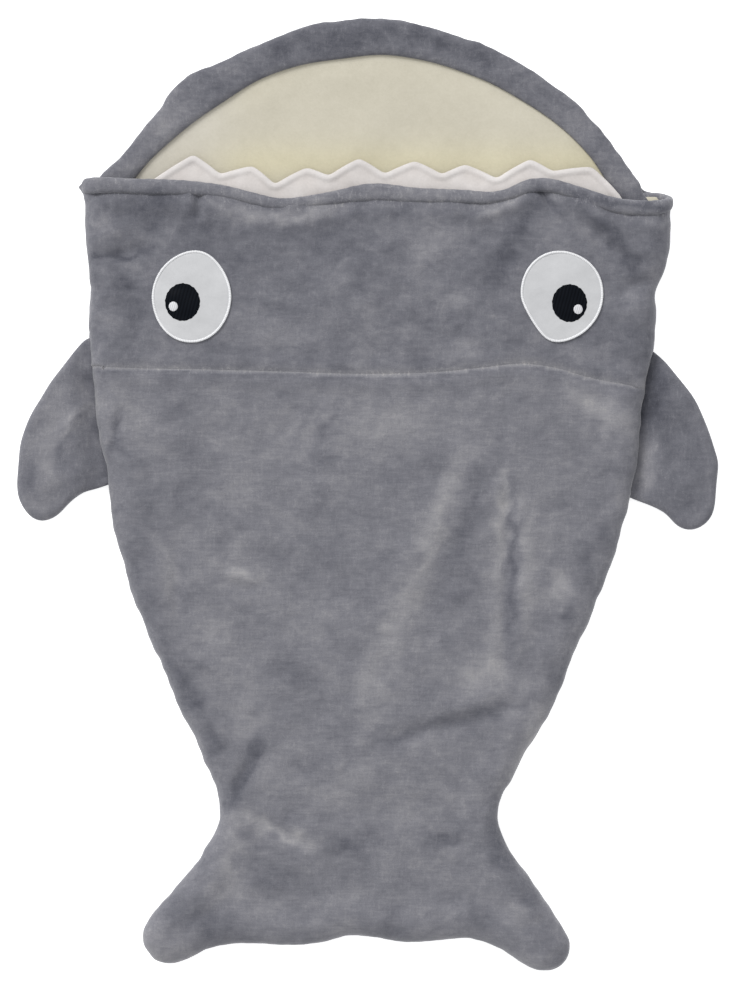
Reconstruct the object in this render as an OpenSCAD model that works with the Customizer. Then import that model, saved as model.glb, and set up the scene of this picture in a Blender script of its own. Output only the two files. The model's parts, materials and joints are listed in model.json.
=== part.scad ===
// Plush shark bag for a baby, lying flat on its back.
// The body is a lined and wadded bag with a wide mouth. Its back runs on past the mouth as a hood.
// X runs across the bag, +Y towards the crown of the hood, +Z up out of the face with the eyes.
// The origin is on the ground under the middle of the whole outline.

/* [Outline] */
// Length from the crown of the hood to the tips of the tail
total_length = 900; // [750:10:1080]
// Width of the bag across its mouth
mouth_width = 553; // [460:1:664]
// How far each side comes in from the mouth to the top end of the fin root
shoulder_taper = 13.5; // [0:0.5:17]
// How far each side comes in along the fin root
chest_taper = 15; // [0:0.5:18]
// Width of the bag at the waist, where the tail begins
waist_width = 263; // [219:1:316]
// Length of the face, from the mouth edge down to the cross seam
head_length = 173; // [150:1:208]
// Distance from the mouth edge down to the top of the fin roots
fin_drop = 146; // [122:1:175]

/* [Hood] */
// How far the hood's edge starts in from each corner of the mouth
hood_shoulder = 20.5; // [17:0.5:25]
// Height of the hood above the mouth edge
hood_rise = 163; // [136:1:196]
// Width of the plush facing round the hood's edge
facing_width = 37; // [30:1:45]
// Distance from the mouth edge up to the hood's fold line
hood_fold_offset = 18; // [15:1:22]

/* [Tail] */
// Length of the tail from the waist to its tips
tail_length = 147; // [125:1:176]
// Width of the tail across its tips
tail_width = 404; // [340:1:480]
// Radius of each tip
tail_tip_radius = 25; // [21:1:30]
// Depth of the hollow between the two tips
tail_notch = 33; // [28:1:40]
// Thickness of the filling in the tail
tail_filling_t = 22; // [18:1:26]

/* [Fins] */
// How far a fin stands out past the top of its root
fin_span = 68; // [57:1:82]
// Length of a fin's root along the side of the bag
fin_root_length = 131; // [110:1:157]
// How far a fin's tip hangs below the low end of its root
fin_overhang = 39; // [33:1:47]
// Radius of a fin's tip
fin_tip_radius = 23.4; // [20:0.1:28]
// Thickness of the filling in a fin
fin_filling_t = 6; // [5:0.5:8]

/* [Layers] */
// Thickness of the plush
plush_t = 3; // [2.5:0.1:4]
// Thickness of the fleece lining
lining_t = 2; // [1.6:0.1:2.5]
// Thickness of the wadding in the back and the hood
back_wadding_t = 5; // [4:0.5:6]
// Thickness of the wadding in the face and the belly
front_wadding_t = 4; // [3:0.5:5]
// Height of the open space between the two linings
pouch_gap = 14; // [11:0.5:18]
// Width of the turned-in seam round the edge
seam_width = 8; // [6:0.5:10]

/* [Mouth trim] */
// Width of the plush binding along the mouth
binding_width = 14; // [11:0.5:17]
// Thickness of one wall of the binding
binding_wall = 2; // [1.6:0.1:2.5]
// How far the binding stands out past each side of the mouth
binding_overhang = 3; // [1:0.5:4]
// Number of teeth
tooth_count = 8; // [6:1:9]
// Distance from one tooth to the next
tooth_pitch = 54; // [45:1:56]
// Height of the uncut band under the teeth
tooth_band = 10; // [8:0.5:12]
// Height of a tooth above that band
tooth_height = 17; // [14:0.5:20]
// Thickness of each of the two plies of the teeth
tooth_ply_t = 1.5; // [1.2:0.1:1.8]

/* [Eyes] */
// Distance between the centres of the eyes
eye_spacing = 351; // [300:1:400]
// Distance from the mouth edge down to the eye centres
eye_drop = 101; // [95:1:110]
// Width of the white of an eye
eye_width = 76; // [64:1:90]
// Height of the white of an eye
eye_height = 87; // [73:1:100]
// Width of the satin stitch round the white
stitch_width = 2.6; // [2:0.1:3.2]
// Radius of a pupil
pupil_radius = 17.5; // [14:0.5:21]
// How far a pupil sits outwards of its eye's centre
pupil_outward = 7.5; // [6:0.5:9]
// How far a pupil sits below its eye's centre
pupil_down = 5; // [4:0.5:6]
// Radius of the glint in a pupil
glint_radius = 4.8; // [4:0.1:5.8]
// How far the glint sits outwards of the pupil's centre
glint_outward = 9; // [7:0.5:10]
// How far the glint sits below the pupil's centre
glint_down = 4.2; // [3:0.1:5]
// Thickness of the white felt
eye_white_t = 1.2; // [1:0.1:1.6]
// Thickness of the pupil's embroidery
pupil_t = 0.8; // [0.6:0.1:1.2]
// Thickness of the glint's embroidery
glint_t = 0.6; // [0.4:0.1:1]

/* [Hidden] */

// Gap between two pieces that move past each other
joint_gap = 0.3;
// Steps in each curve of an outline
curve_steps = 14;
arc_steps = 36;
$fn = 48;

// Half the width of the bag at each level, and of the hood at its base
mouth_half = mouth_width / 2;
shoulder_half = mouth_half - shoulder_taper;
chest_half = shoulder_half - chest_taper;
hood_base_half = mouth_half - hood_shoulder;

// Places along the bag
crown_y = total_length / 2;
tip_y = -total_length / 2;
mouth_y = crown_y - hood_rise;
binding_y = mouth_y - binding_width;
cross_seam_y = mouth_y - head_length;
fin_top_y = mouth_y - fin_drop;
fin_low_y = fin_top_y - fin_root_length;
waist_y = tip_y + tail_length;
hood_fold_y = mouth_y + hood_fold_offset;

// Heights of the layers, from the ground up
back_wadding_z = plush_t;
back_lining_z = back_wadding_z + back_wadding_t;
pouch_z = back_lining_z + lining_t;
front_lining_z = pouch_z + pouch_gap;
front_wadding_z = front_lining_z + lining_t;
front_outer_z = front_wadding_z + front_wadding_t;
top_z = front_outer_z + plush_t;
pupil_z = top_z + eye_white_t;
glint_z = pupil_z + pupil_t;
fin_t = 2 * plush_t + fin_filling_t;

// Colours
plush_grey = [0.44, 0.45, 0.48];
seam_grey = [0.36, 0.37, 0.40];
fleece_cream = [0.86, 0.83, 0.71];
felt_white = [0.93, 0.92, 0.92];
fibre_white = [0.97, 0.97, 0.95];
thread_black = [0.06, 0.06, 0.08];

// ---- Outlines ----

// Points along a cubic curve with four control points
function bezier(p, n = curve_steps) = [
    for (i = [0:n]) let (t = i / n, u = 1 - t)
        u * u * u * p[0] + 3 * u * u * t * p[1] + 3 * u * t * t * p[2] + t * t * t * p[3]
];

// Points along an arc, the ends included
function arc(centre, radius, from, to, n = arc_steps) = [
    for (i = [0:n]) let (a = from + (to - from) * i / n)
        centre + radius * [cos(a), sin(a)]
];

// The same points in the opposite order
function reversed(points) = [for (i = [len(points) - 1:-1:0]) points[i]];

// The same points on the other side of the bag, in the opposite order
function mirrored(points) = [for (p = reversed(points)) [-p[0], p[1]]];

// A closed outline from its right-hand points, top to bottom
function both_sides(points) = concat(points, mirrored(points));

// Half the bag's width at a height above the low end of the fin roots, where its sides are straight
function half_width(y) = lookup(y, [
    [fin_low_y, chest_half],
    [fin_top_y, shoulder_half],
    [mouth_y, mouth_half]
]);

// The right side of the belly from the low end of the fin root down to the waist
function belly_side(inset) = let (
        chest = [chest_half, fin_low_y],
        waist = [waist_width / 2, waist_y],
        slope = [chest_taper, fin_root_length] / fin_root_length,
        drop = fin_low_y - waist_y
    ) [for (p = bezier([chest, chest - 0.4 * drop * slope, waist + [0.02 * drop, 0.15 * drop], waist]))
        p - [inset, 0]];

// The right side of the face from its upper edge down to the cross seam
function head_side(upper_y, inset, lower_y = cross_seam_y) = concat(
    [[half_width(upper_y) - inset, upper_y]],
    fin_top_y > lower_y ? [[half_width(fin_top_y) - inset, fin_top_y]] : [],
    [[half_width(lower_y) - inset, lower_y]]
);

// The right side of the whole bag below the binding, with its lower edge raised by floor_inset
function torso_side(inset, floor_inset = 0) = concat(
    head_side(binding_y, inset, fin_low_y),
    [for (p = belly_side(inset)) if (p[1] < fin_low_y && p[1] > waist_y + floor_inset) p],
    [[waist_half(inset, floor_inset), waist_y + floor_inset]]
);

// Half the belly's width at a small height above the waist, read off its side curve
function waist_half(inset, up) = lookup(waist_y + up, [
    for (i = [curve_steps:-1:0]) let (p = belly_side(inset)[i]) [p[1], p[0]]
]);

// Radius of the arc through the hood's two base corners and its crown
function hood_radius(half, rise) = (half * half + rise * rise) / (2 * rise);

// Points along that arc above from_y, from right to left, drawn in by a clearance
function hood_arc(half, rise, from_y, clearance = 0) = let (
        r = hood_radius(half, rise),
        c = mouth_y + rise - r,
        a = asin((from_y - c) / (r - clearance))
    ) arc([0, c], r - clearance, a, 180 - a);

// The facing's inner edge is an arc of its own
facing_base_half = hood_base_half - facing_width;
facing_rise = hood_rise - facing_width;

// Half the hood's width at a height y
function hood_half(y) = let (
        r = hood_radius(hood_base_half, hood_rise),
        c = mouth_y + hood_rise - r
    ) sqrt(r * r - (y - c) * (y - c));

// The neck is the strip of the back between the mouth and the hood's fold line
function neck_side(inset) = [
    [hood_half(hood_fold_y) - inset, hood_fold_y],
    [hood_half(mouth_y) - inset, mouth_y],
    [hood_half(mouth_y) - inset, binding_y]
];

// The right side of the tail, from the waist round one tip to the notch
tip_centre = [tail_width / 2 - tail_tip_radius, tip_y + tail_tip_radius];
tip_from = 40;
tip_to = -120;
function tail_side(upper_y, inset) = let (
        r = tail_tip_radius - inset,
        waist = [waist_width / 2 - inset, waist_y],
        flare = tip_centre + r * [cos(tip_from), sin(tip_from)],
        drop = waist_y - flare[1],
        inner = tip_centre + r * [cos(tip_to), sin(tip_to)],
        notch = [0, tip_y + tail_notch + inset],
        run = tip_centre[0],
        flank = bezier([waist, waist - [0, 0.3 * drop], flare + [-0.22, 0.4] * drop, flare]),
        hem = bezier([inner, inner + [-0.32, 0.19] * run, notch + [0.34, -0.06] * run, notch])
    ) concat(
        [[waist[0], upper_y]],
        [for (p = flank) if (p[1] < upper_y) p],
        arc(tip_centre, r, tip_from, tip_to, 16),
        hem
    );

// The outline of the right fin. Its root edge lies at a distance root_gap outside the bag's side.
root_top = [shoulder_half, fin_top_y];
root_low = [chest_half, fin_low_y];
root_along = (root_top - root_low) / norm(root_top - root_low);
root_out = [root_along[1], -root_along[0]];
fin_tip_to = -135;
function fin_outline(root_gap, inset) = let (
        top = root_top + root_gap * root_out - inset * root_along,
        low = root_low + root_gap * root_out + inset * root_along,
        c = [root_top[0] + fin_span - fin_tip_radius, root_low[1] - fin_overhang + fin_tip_radius],
        r = fin_tip_radius - inset,
        side = c + [r, 0],
        span = side - top,
        inner = c + r * [cos(fin_tip_to), sin(fin_tip_to)],
        lean = [0.6 * span[0], 0.2 * span[1]],
        crest = bezier([top + [1, 0], top + lean, side - [0, 0.38 * span[1]], side]),
        armpit = bezier([inner, inner + [-8, 9], low + [17, -5], low + [1, 0]], 8)
    ) concat([top], crest, arc(c, r, 0, fin_tip_to, 12), armpit, [low]);

// An oval outline
function oval(width, height) = [
    for (a = [0:7.5:352.5]) [cos(a) * width / 2, sin(a) * height / 2]
];

// The toothed strip: a band along the mouth with a row of points above it
function teeth_outline() = let (
        first = (tooth_count - 1) * tooth_pitch / 2,
        end_run = 0.7 * tooth_pitch,
        tall = tooth_band + tooth_height
    ) concat(
        [[-first - end_run, 0]],
        [for (i = [0:tooth_count - 1]) each concat(
            [[-first + i * tooth_pitch, tall]],
            i < tooth_count - 1 ? [[-first + (i + 0.5) * tooth_pitch, tooth_band]] : []
        )],
        [[first + end_run, 0]]
    );

// A flat layer of the given outline
module layer(outline, z, t) translate([0, 0, z]) linear_extrude(t) polygon(outline);

// ---- Bag: back, belly and seams ----

// The back outlines join the torso, the neck and the binding's recess beside it
function back_outline(inset, floor_inset = 0) =
    both_sides(concat(neck_side(inset), torso_side(inset, floor_inset)));

module back_outer() color(plush_grey) layer(back_outline(0), 0, plush_t);

module back_wadding() color(fibre_white)
    layer(back_outline(seam_width, seam_width), back_wadding_z, back_wadding_t);

module back_lining() color(fleece_cream)
    layer(back_outline(seam_width, seam_width), back_lining_z, lining_t);

// The belly reaches from the cross seam to the waist
function belly_outline(inset, floor_inset = 0) = both_sides(concat(
    [[half_width(cross_seam_y) - inset, cross_seam_y]],
    [for (p = torso_side(inset, floor_inset)) if (p[1] < cross_seam_y) p]
));

module belly_outer() color(plush_grey) layer(belly_outline(0), front_outer_z, plush_t);

module belly_wadding() color(fibre_white)
    layer(belly_outline(seam_width, seam_width), front_wadding_z, front_wadding_t);

module belly_lining() color(fleece_cream)
    layer(belly_outline(seam_width, seam_width), front_lining_z, lining_t);

// A seam is the bundle of turned-in edges that joins the back to the front
seam_height = front_outer_z - back_wadding_z - joint_gap;
module side_seam() color(seam_grey) layer(
    concat(torso_side(0), reversed(torso_side(seam_width))),
    back_wadding_z, seam_height
);

module waist_seam() color(seam_grey) layer(
    both_sides([
        [waist_half(seam_width, seam_width), waist_y + seam_width],
        [waist_half(seam_width, 0), waist_y]
    ]),
    back_wadding_z, seam_height
);

// The binding turns round each corner of the mouth, from the face to the hood
loop_height = front_lining_z - binding_wall;
module binding_loop() {
    loop_radius = loop_height / 2;
    loop_x = mouth_half - loop_radius;
    color(plush_grey) translate([0, binding_y, 0]) {
        translate([loop_x, binding_width, loop_radius]) rotate([90, 0, 0])
            linear_extrude(binding_width) difference() {
                circle(loop_radius);
                circle(loop_radius - 2 * binding_wall);
                translate([-2 * loop_radius, -loop_radius]) square(2 * loop_radius);
            }
        translate([hood_half(mouth_y), 0, 0])
            cube([loop_x - hood_half(mouth_y), binding_width, 2 * binding_wall]);
    }
}

// ---- Face: head panel, mouth binding and eyes ----

// The face's outline between the cross seam and an upper edge
function head_outline(upper_y, inset) = both_sides([
    for (p = head_side(upper_y, inset, cross_seam_y + joint_gap)) p
]);
laminate_y = mouth_y - binding_wall;

module head_outer() color(plush_grey) layer(head_outline(laminate_y, 0), front_outer_z, plush_t);

module head_wadding() color(fibre_white)
    layer(head_outline(laminate_y, seam_width + 2 * joint_gap), front_wadding_z, front_wadding_t);

module head_lining() color(fleece_cream)
    layer(head_outline(laminate_y, seam_width + 2 * joint_gap), front_lining_z, lining_t);

// A folded strip that wraps the raw edge of the face from above, in front and below
module mouth_binding() color(plush_grey) {
    length = mouth_width + 2 * binding_overhang;
    edge_t = top_z - front_lining_z;
    under_wall = binding_wall - joint_gap;
    translate([-length / 2, binding_y, front_lining_z - under_wall]) rotate([90, 0, 90])
        linear_extrude(length) difference() {
            square([binding_width, under_wall + edge_t + binding_wall]);
            translate([-binding_wall, under_wall]) square([binding_width, edge_t]);
        }
}

eye_y = mouth_y - eye_drop;
// How far the satin stitch stands above the white
stitch_rise = 0.5;
module at_eye() translate([eye_spacing / 2, eye_y, 0]) children();
module at_pupil() at_eye() translate([pupil_outward, -pupil_down, 0]) children();

module eye_white() color(felt_white) at_eye()
    layer(oval(eye_width - 2 * stitch_width, eye_height - 2 * stitch_width), top_z, eye_white_t);

module eye_stitching() color(felt_white) at_eye() translate([0, 0, top_z])
    linear_extrude(eye_white_t + stitch_rise) difference() {
        polygon(oval(eye_width, eye_height));
        polygon(oval(eye_width - 2 * stitch_width, eye_height - 2 * stitch_width));
    }

module pupil() color(thread_black) at_pupil() translate([0, 0, pupil_z])
    cylinder(pupil_t, r = pupil_radius);

module glint() color(felt_white) at_pupil() translate([glint_outward, -glint_down, glint_z])
    cylinder(glint_t, r = glint_radius);

// ---- Teeth ----

// The teeth start a little above the binding, so that they can turn about their seam
teeth_root_gap = 0.9;
module teeth_ply(z) color(felt_white) translate([0, mouth_y + teeth_root_gap, 0])
    layer(teeth_outline(), z, tooth_ply_t);

module teeth_top_ply() teeth_ply(front_lining_z - tooth_ply_t);

module teeth_under_ply() teeth_ply(front_lining_z - 2 * tooth_ply_t);

// ---- Hood ----

hood_from_y = hood_fold_y + joint_gap;

module hood_outer() color(plush_grey)
    layer(hood_arc(hood_base_half, hood_rise, hood_from_y), 0, plush_t);

module hood_wadding() color(fibre_white)
    layer(hood_arc(hood_base_half, hood_rise, hood_from_y, seam_width), back_wadding_z, back_wadding_t);

// A band that follows the hood's edge, from the outer arc to an inner one
module hood_band(inner_arc, z, t)
    layer(concat(hood_arc(hood_base_half, hood_rise, hood_from_y), reversed(inner_arc)), z, t);

module hood_edge_seam() color(seam_grey)
    hood_band(hood_arc(hood_base_half, hood_rise, hood_from_y, seam_width), back_wadding_z, back_wadding_t);

module hood_facing() color(plush_grey)
    hood_band(hood_arc(facing_base_half, facing_rise, hood_from_y), back_lining_z, plush_t);

module hood_lining() color(fleece_cream)
    layer(hood_arc(facing_base_half, facing_rise, hood_from_y), back_lining_z, lining_t);

// ---- Fins ----

// The fin turns about the roll of turned-in edges at its root
root_radius = fin_t / 2;
root_axis_gap = root_radius + joint_gap;
fin_gap = root_axis_gap + root_radius;

module fin_top() color(plush_grey)
    layer(fin_outline(fin_gap, 0), plush_t + fin_filling_t, plush_t);

module fin_under() color(plush_grey) layer(fin_outline(fin_gap, 0), 0, plush_t);

module fin_filling() color(fibre_white)
    layer(fin_outline(fin_gap, plush_t), plush_t, fin_filling_t);

module fin_root_seam() color(seam_grey)
    translate(concat(root_low + root_axis_gap * root_out, [root_radius]))
        rotate([-90, 0, atan2(root_along[1], root_along[0]) - 90])
            cylinder(norm(root_top - root_low), r = root_radius);

// ---- Tail ----

function tail_outline(inset) = both_sides(tail_side(waist_y - joint_gap, inset));

module tail_under() color(plush_grey) layer(tail_outline(0), 0, plush_t);

module tail_filling() color(fibre_white) layer(tail_outline(plush_t), plush_t, tail_filling_t);

module tail_top() color(plush_grey) layer(tail_outline(0), plush_t + tail_filling_t, plush_t);

// ---- Assembly ----

module left() mirror([1, 0, 0]) children();

back_outer();
back_wadding();
back_lining();
belly_outer();
belly_wadding();
belly_lining();
left() side_seam();  // side_seam_left
side_seam();  // side_seam_right
waist_seam();
left() binding_loop();  // binding_loop_left
binding_loop();  // binding_loop_right
head_outer();
head_wadding();
head_lining();
mouth_binding();
left() eye_white();  // eye_white_left
eye_white();  // eye_white_right
left() eye_stitching();  // eye_stitching_left
eye_stitching();  // eye_stitching_right
left() pupil();  // pupil_left
pupil();  // pupil_right
left() glint();  // glint_left
glint();  // glint_right
teeth_top_ply();
teeth_under_ply();
hood_outer();
hood_wadding();
hood_edge_seam();
hood_facing();
hood_lining();
left() fin_top();  // fin_left_top
left() fin_under();  // fin_left_under
left() fin_filling();  // fin_left_filling
left() fin_root_seam();  // fin_left_root_seam
fin_top();  // fin_right_top
fin_under();  // fin_right_under
fin_filling();  // fin_right_filling
fin_root_seam();  // fin_right_root_seam
tail_top();
tail_under();
tail_filling();
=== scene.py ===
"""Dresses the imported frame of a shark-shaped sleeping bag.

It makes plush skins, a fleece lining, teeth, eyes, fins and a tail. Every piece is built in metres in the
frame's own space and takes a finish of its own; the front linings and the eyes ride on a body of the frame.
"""

from __future__ import annotations

import json
import logging
import math
from dataclasses import dataclass, field
from enum import Enum
from typing import Callable, Sequence

import bmesh
import bpy
import numpy as np
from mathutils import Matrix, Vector, geometry

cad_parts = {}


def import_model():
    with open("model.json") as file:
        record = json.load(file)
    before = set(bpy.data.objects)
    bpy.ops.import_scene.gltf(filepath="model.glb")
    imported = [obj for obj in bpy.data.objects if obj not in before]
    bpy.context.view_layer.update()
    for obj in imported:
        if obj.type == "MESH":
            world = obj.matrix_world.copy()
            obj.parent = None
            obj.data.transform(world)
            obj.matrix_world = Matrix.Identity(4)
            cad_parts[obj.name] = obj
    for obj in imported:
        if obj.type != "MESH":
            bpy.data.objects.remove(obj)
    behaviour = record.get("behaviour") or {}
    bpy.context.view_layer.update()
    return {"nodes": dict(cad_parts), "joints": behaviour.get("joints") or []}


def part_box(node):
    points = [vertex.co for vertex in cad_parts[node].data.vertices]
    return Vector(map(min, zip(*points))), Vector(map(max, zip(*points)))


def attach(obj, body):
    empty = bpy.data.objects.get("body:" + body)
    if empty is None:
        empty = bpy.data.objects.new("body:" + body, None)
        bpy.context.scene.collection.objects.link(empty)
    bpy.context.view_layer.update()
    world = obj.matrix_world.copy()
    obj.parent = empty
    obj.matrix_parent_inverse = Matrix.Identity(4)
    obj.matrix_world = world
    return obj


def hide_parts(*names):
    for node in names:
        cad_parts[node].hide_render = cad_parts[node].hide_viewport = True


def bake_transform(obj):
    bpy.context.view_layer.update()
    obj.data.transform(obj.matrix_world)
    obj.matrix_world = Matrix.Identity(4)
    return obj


LOG = logging.getLogger("shark_bag")
CAMERA_NAME = "studio_camera"
NAP_AND_SHADING = "nap"
HIGHLIGHT_FLECK = "fleck"

Array = np.ndarray
Object = bpy.types.Object
Socket = bpy.types.NodeSocket
Height = Callable[[Array], Array]
Table = tuple[tuple[float, ...], ...]
Colour = tuple[float, float, float]
Place = tuple[float, float, float]

# A millimetre in metres.
MM = 0.001
# Points nearer to each other than this are one.
MERGE = 2e-6
# One turn of the wave texture, in radians.
WAVE_PERIOD = 6.2832
# How far out the seam across the front meets the flanks.
FLANK_X = 0.262


class Body(str, Enum):
    """The frame's moving bodies."""

    BAG = "bag"
    HEAD = "head"
    TEETH = "teeth"
    HOOD = "hood"
    FIN_LEFT = "fin_left"
    FIN_RIGHT = "fin_right"
    TAIL = "tail"


class Slot(str, Enum):
    """The record's material slots."""

    PLUSH = "grey_plush"
    FLEECE = "cream_fleece"
    TEETH = "white_plush"
    EYE = "eye_white"
    WHITE_THREAD = "white_thread"
    BLACK_THREAD = "black_thread"


class Facing(Enum):
    """Which way a skin's outer side looks."""

    UP = 1
    DOWN = -1


# ---------------------------------------------------------------- curves and fields


def mm(*rows: Sequence[float]) -> Table:
    """Turns rows of millimetres into metres."""
    return tuple(tuple(value / 1000 for value in row) for row in rows)


def hermite(x: Array, table: Table, column: int = 1) -> Array:
    """Runs a smooth curve through a few knots.

    Args:
        x: Where to read the curve; beyond the ends it stays level.
        table: The knots, each a position and its values, with the positions rising.
        column: Which of the values to follow.

    Returns:
        The curve's value at each x.
    """
    rows = np.array(table)
    k, v = rows[:, 0], rows[:, column]
    slope = np.gradient(v, k)
    x = np.clip(x, k[0], k[-1])
    i = np.clip(np.searchsorted(k, x) - 1, 0, len(k) - 2)
    gap = k[i + 1] - k[i]
    t = (x - k[i]) / gap
    a = 2 * t**3 - 3 * t**2 + 1
    b = t**3 - 2 * t**2 + t
    c = -2 * t**3 + 3 * t**2
    d = t**3 - t**2
    return a * v[i] + b * gap * slope[i] + c * v[i + 1] + d * gap * slope[i + 1]


def smoothstep(x: Array, low: float, high: float) -> Array:
    """Rises smoothly from 0 at low to 1 at high."""
    t = np.clip((x - low) / (high - low), 0.0, 1.0)
    return t * t * (3 - 2 * t)


def bell(x: Array, width: float) -> Array:
    """Gives a smooth bump: 1 at 0, and nearly nothing two widths away."""
    return np.exp(-((x / width) ** 2))


def still(xy: Array) -> Array:
    """Gives no rise anywhere."""
    return np.zeros(len(xy))


def resample(path: Array, step: float, closed: bool = False) -> Array:
    """Spaces points evenly along a path.

    Args:
        path: The path's points, one a row.
        step: The wanted spacing.
        closed: Whether the path returns to its start.

    Returns:
        The new points; a closed path doesn't repeat its first.
    """
    p = np.vstack([path, path[:1]]) if closed else path
    run = np.r_[0, np.cumsum(np.linalg.norm(np.diff(p, axis=0), axis=1))]
    keep = np.r_[True, np.diff(run) > 1e-9]
    p, run = p[keep], run[keep]
    count = max(4, int(round(run[-1] / step)))
    at = np.linspace(0, run[-1], count + 1)
    if closed:
        at = at[:-1]
    return np.column_stack([np.interp(at, run, p[:, k]) for k in range(p.shape[1])])


def soften(path: Array, passes: int, closed: bool = False) -> Array:
    """Rounds a path's corners by averaging neighbours; an open path keeps its ends.

    Args:
        path: The points.
        passes: How often they are averaged.
        closed: Whether the path is a loop.

    Returns:
        The rounded path.
    """
    p = path.copy()
    for _ in range(passes):
        if closed:
            p = 0.25 * np.roll(p, 1, 0) + 0.5 * p + 0.25 * np.roll(p, -1, 0)
        else:
            p[1:-1] = 0.25 * p[:-2] + 0.5 * p[1:-1] + 0.25 * p[2:]
    return p


def inward(path: Array, closed: bool = False) -> Array:
    """Gives the unit normals on the left of a path, which is inwards where it runs anticlockwise.

    Args:
        path: The points.
        closed: Whether the path is a loop.

    Returns:
        One normal per point.
    """
    if closed:
        run = np.roll(path, -1, 0) - np.roll(path, 1, 0)
    else:
        run = np.gradient(path, axis=0)
    run = run / np.maximum(np.linalg.norm(run, axis=1), 1e-12)[:, None]
    return np.column_stack([-run[:, 1], run[:, 0]])


def distance(points: Array, path: Array, closed: bool = False) -> tuple[Array, Array]:
    """Measures how far points lie from a path.

    Args:
        points: The points, one a row.
        path: The path's points.
        closed: Whether the path returns to its start.

    Returns:
        Each point's distance, and how far along the path its nearest place is, from 0 to 1.
    """
    p = np.vstack([path, path[:1]]) if closed else np.asarray(path, float)
    a, b = p[:-1], p[1:]
    span = b - a
    size = np.maximum((span**2).sum(1), 1e-18)
    run = np.r_[0, np.cumsum(np.sqrt(size))]
    best = np.full(len(points), 1e9)
    along = np.zeros(len(points))
    for start in range(0, len(points), 4000):
        q = points[start:start + 4000]
        rel = q[:, None, :] - a[None]
        t = np.clip((rel * span[None]).sum(2) / size[None], 0, 1)
        gap = ((rel - t[..., None] * span[None]) ** 2).sum(2)
        k = gap.argmin(1)
        rows = np.arange(len(q))
        best[start:start + 4000] = np.sqrt(gap[rows, k])
        along[start:start + 4000] = run[k] + t[rows, k] * (run[k + 1] - run[k])
    return best, along / run[-1]


def within(points: Array, loop: Array) -> Array:
    """Tells which points lie inside a closed loop, by counting crossings.

    Args:
        points: The points.
        loop: The loop's points.

    Returns:
        True for each point inside.
    """
    x, y = points[:, 0], points[:, 1]
    inside = np.zeros(len(points), bool)
    before = np.roll(loop, 1, 0)
    for (ax, ay), (bx, by) in zip(before, loop):
        if ay == by:
            continue
        hit = (ay > y) != (by > y)
        inside ^= hit & (x < ax + (y - ay) * (bx - ax) / (by - ay))
    return inside


@dataclass(frozen=True)
class Ripple:
    """A gentle unevenness made of crossing waves.

    Attributes:
        height: How far it rises and falls.
        length: The usual distance between crests.
        seed: Chooses the waves.
        waves: How many waves cross.
    """

    height: float
    length: float
    seed: int
    waves: int = 14

    def lift(self, xy: Array) -> Array:
        """Gives the rise at each point.

        Args:
            xy: The places, as x and y.

        Returns:
            The rise at each place.
        """
        rng = np.random.default_rng(self.seed)
        angle = rng.uniform(0, 2 * math.pi, self.waves)
        size = self.length * rng.uniform(0.65, 1.7, self.waves)
        phase = rng.uniform(0, 2 * math.pi, self.waves)
        way = np.column_stack([np.cos(angle), np.sin(angle)]) * (2 * math.pi / size)[:, None]
        total = np.sin(xy @ way.T + phase).sum(1)
        return self.height * total / math.sqrt(self.waves)


@dataclass(frozen=True)
class Fold:
    """One ridge or crease pressed into the padding.

    Attributes:
        path: The points that it runs through.
        width: How far it spreads to each side.
        height: Its rise, or its depth where negative.
        start: How strong it is at its first point.
        end: How strong it is at its last point.
    """

    path: Table
    width: float
    height: float
    start: float = 0.0
    end: float = 0.0

    def lift(self, xy: Array) -> Array:
        """Gives the rise at each point.

        Args:
            xy: The places, as x and y.

        Returns:
            The rise at each place.
        """
        run = soften(resample(np.array(self.path), 0.006), 6)
        gap, along = distance(xy, run)
        ends = np.where(along < 0.5, self.start, self.end)
        strength = ends + (1 - ends) * np.sin(np.pi * along) ** 0.8
        return self.height * strength * bell(gap, self.width)


def folds(unit: float, rows: Sequence[Sequence[float]]) -> tuple[Fold, ...]:
    """Makes folds from a table.

    Args:
        unit: What a height of 1 stands for.
        rows: Height, width, strength at the start and the end, then each point's x and y, with lengths in
            millimetres.

    Returns:
        The folds.
    """
    made = []
    for height, width, start, end, *path in rows:
        points = mm(*zip(path[::2], path[1::2]))
        made.append(Fold(points, width / 1000, height * unit, start, end))
    return tuple(made)


# ---------------------------------------------------------------- meshes


def make_object(name: str, points: Array, faces: Sequence[Sequence[int]]) -> Object:
    """Makes a smooth-shaded mesh object at the origin.

    Args:
        name: Its name.
        points: The mesh's points.
        faces: Each face's corners.

    Returns:
        The object.
    """
    mesh = bpy.data.meshes.new(name)
    mesh.from_pydata([tuple(p) for p in points], [], [tuple(f) for f in faces])
    mesh.update()
    mesh.shade_smooth()
    made = bpy.data.objects.new(name, mesh)
    bpy.context.scene.collection.objects.link(made)
    return made


def tidy_mesh(piece: Object, facing: Facing | None) -> None:
    """Merges shared points and turns the faces outwards.

    Args:
        piece: The object to clean.
        facing: Which way an open skin looks, or None for a closed piece.
    """
    bm = bmesh.new()
    bm.from_mesh(piece.data)
    bmesh.ops.remove_doubles(bm, verts=bm.verts, dist=MERGE)
    bmesh.ops.dissolve_degenerate(bm, dist=1e-7, edges=bm.edges)
    bmesh.ops.delete(bm, geom=[v for v in bm.verts if not v.link_faces], context="VERTS")
    bmesh.ops.recalc_face_normals(bm, faces=bm.faces)
    if facing is not None:
        tilt = sum(f.normal.z * f.calc_area() for f in bm.faces)
        if tilt * facing.value < 0:
            bmesh.ops.reverse_faces(bm, faces=bm.faces)
    bm.to_mesh(piece.data)
    bm.free()
    piece.data.shade_smooth()


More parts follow.
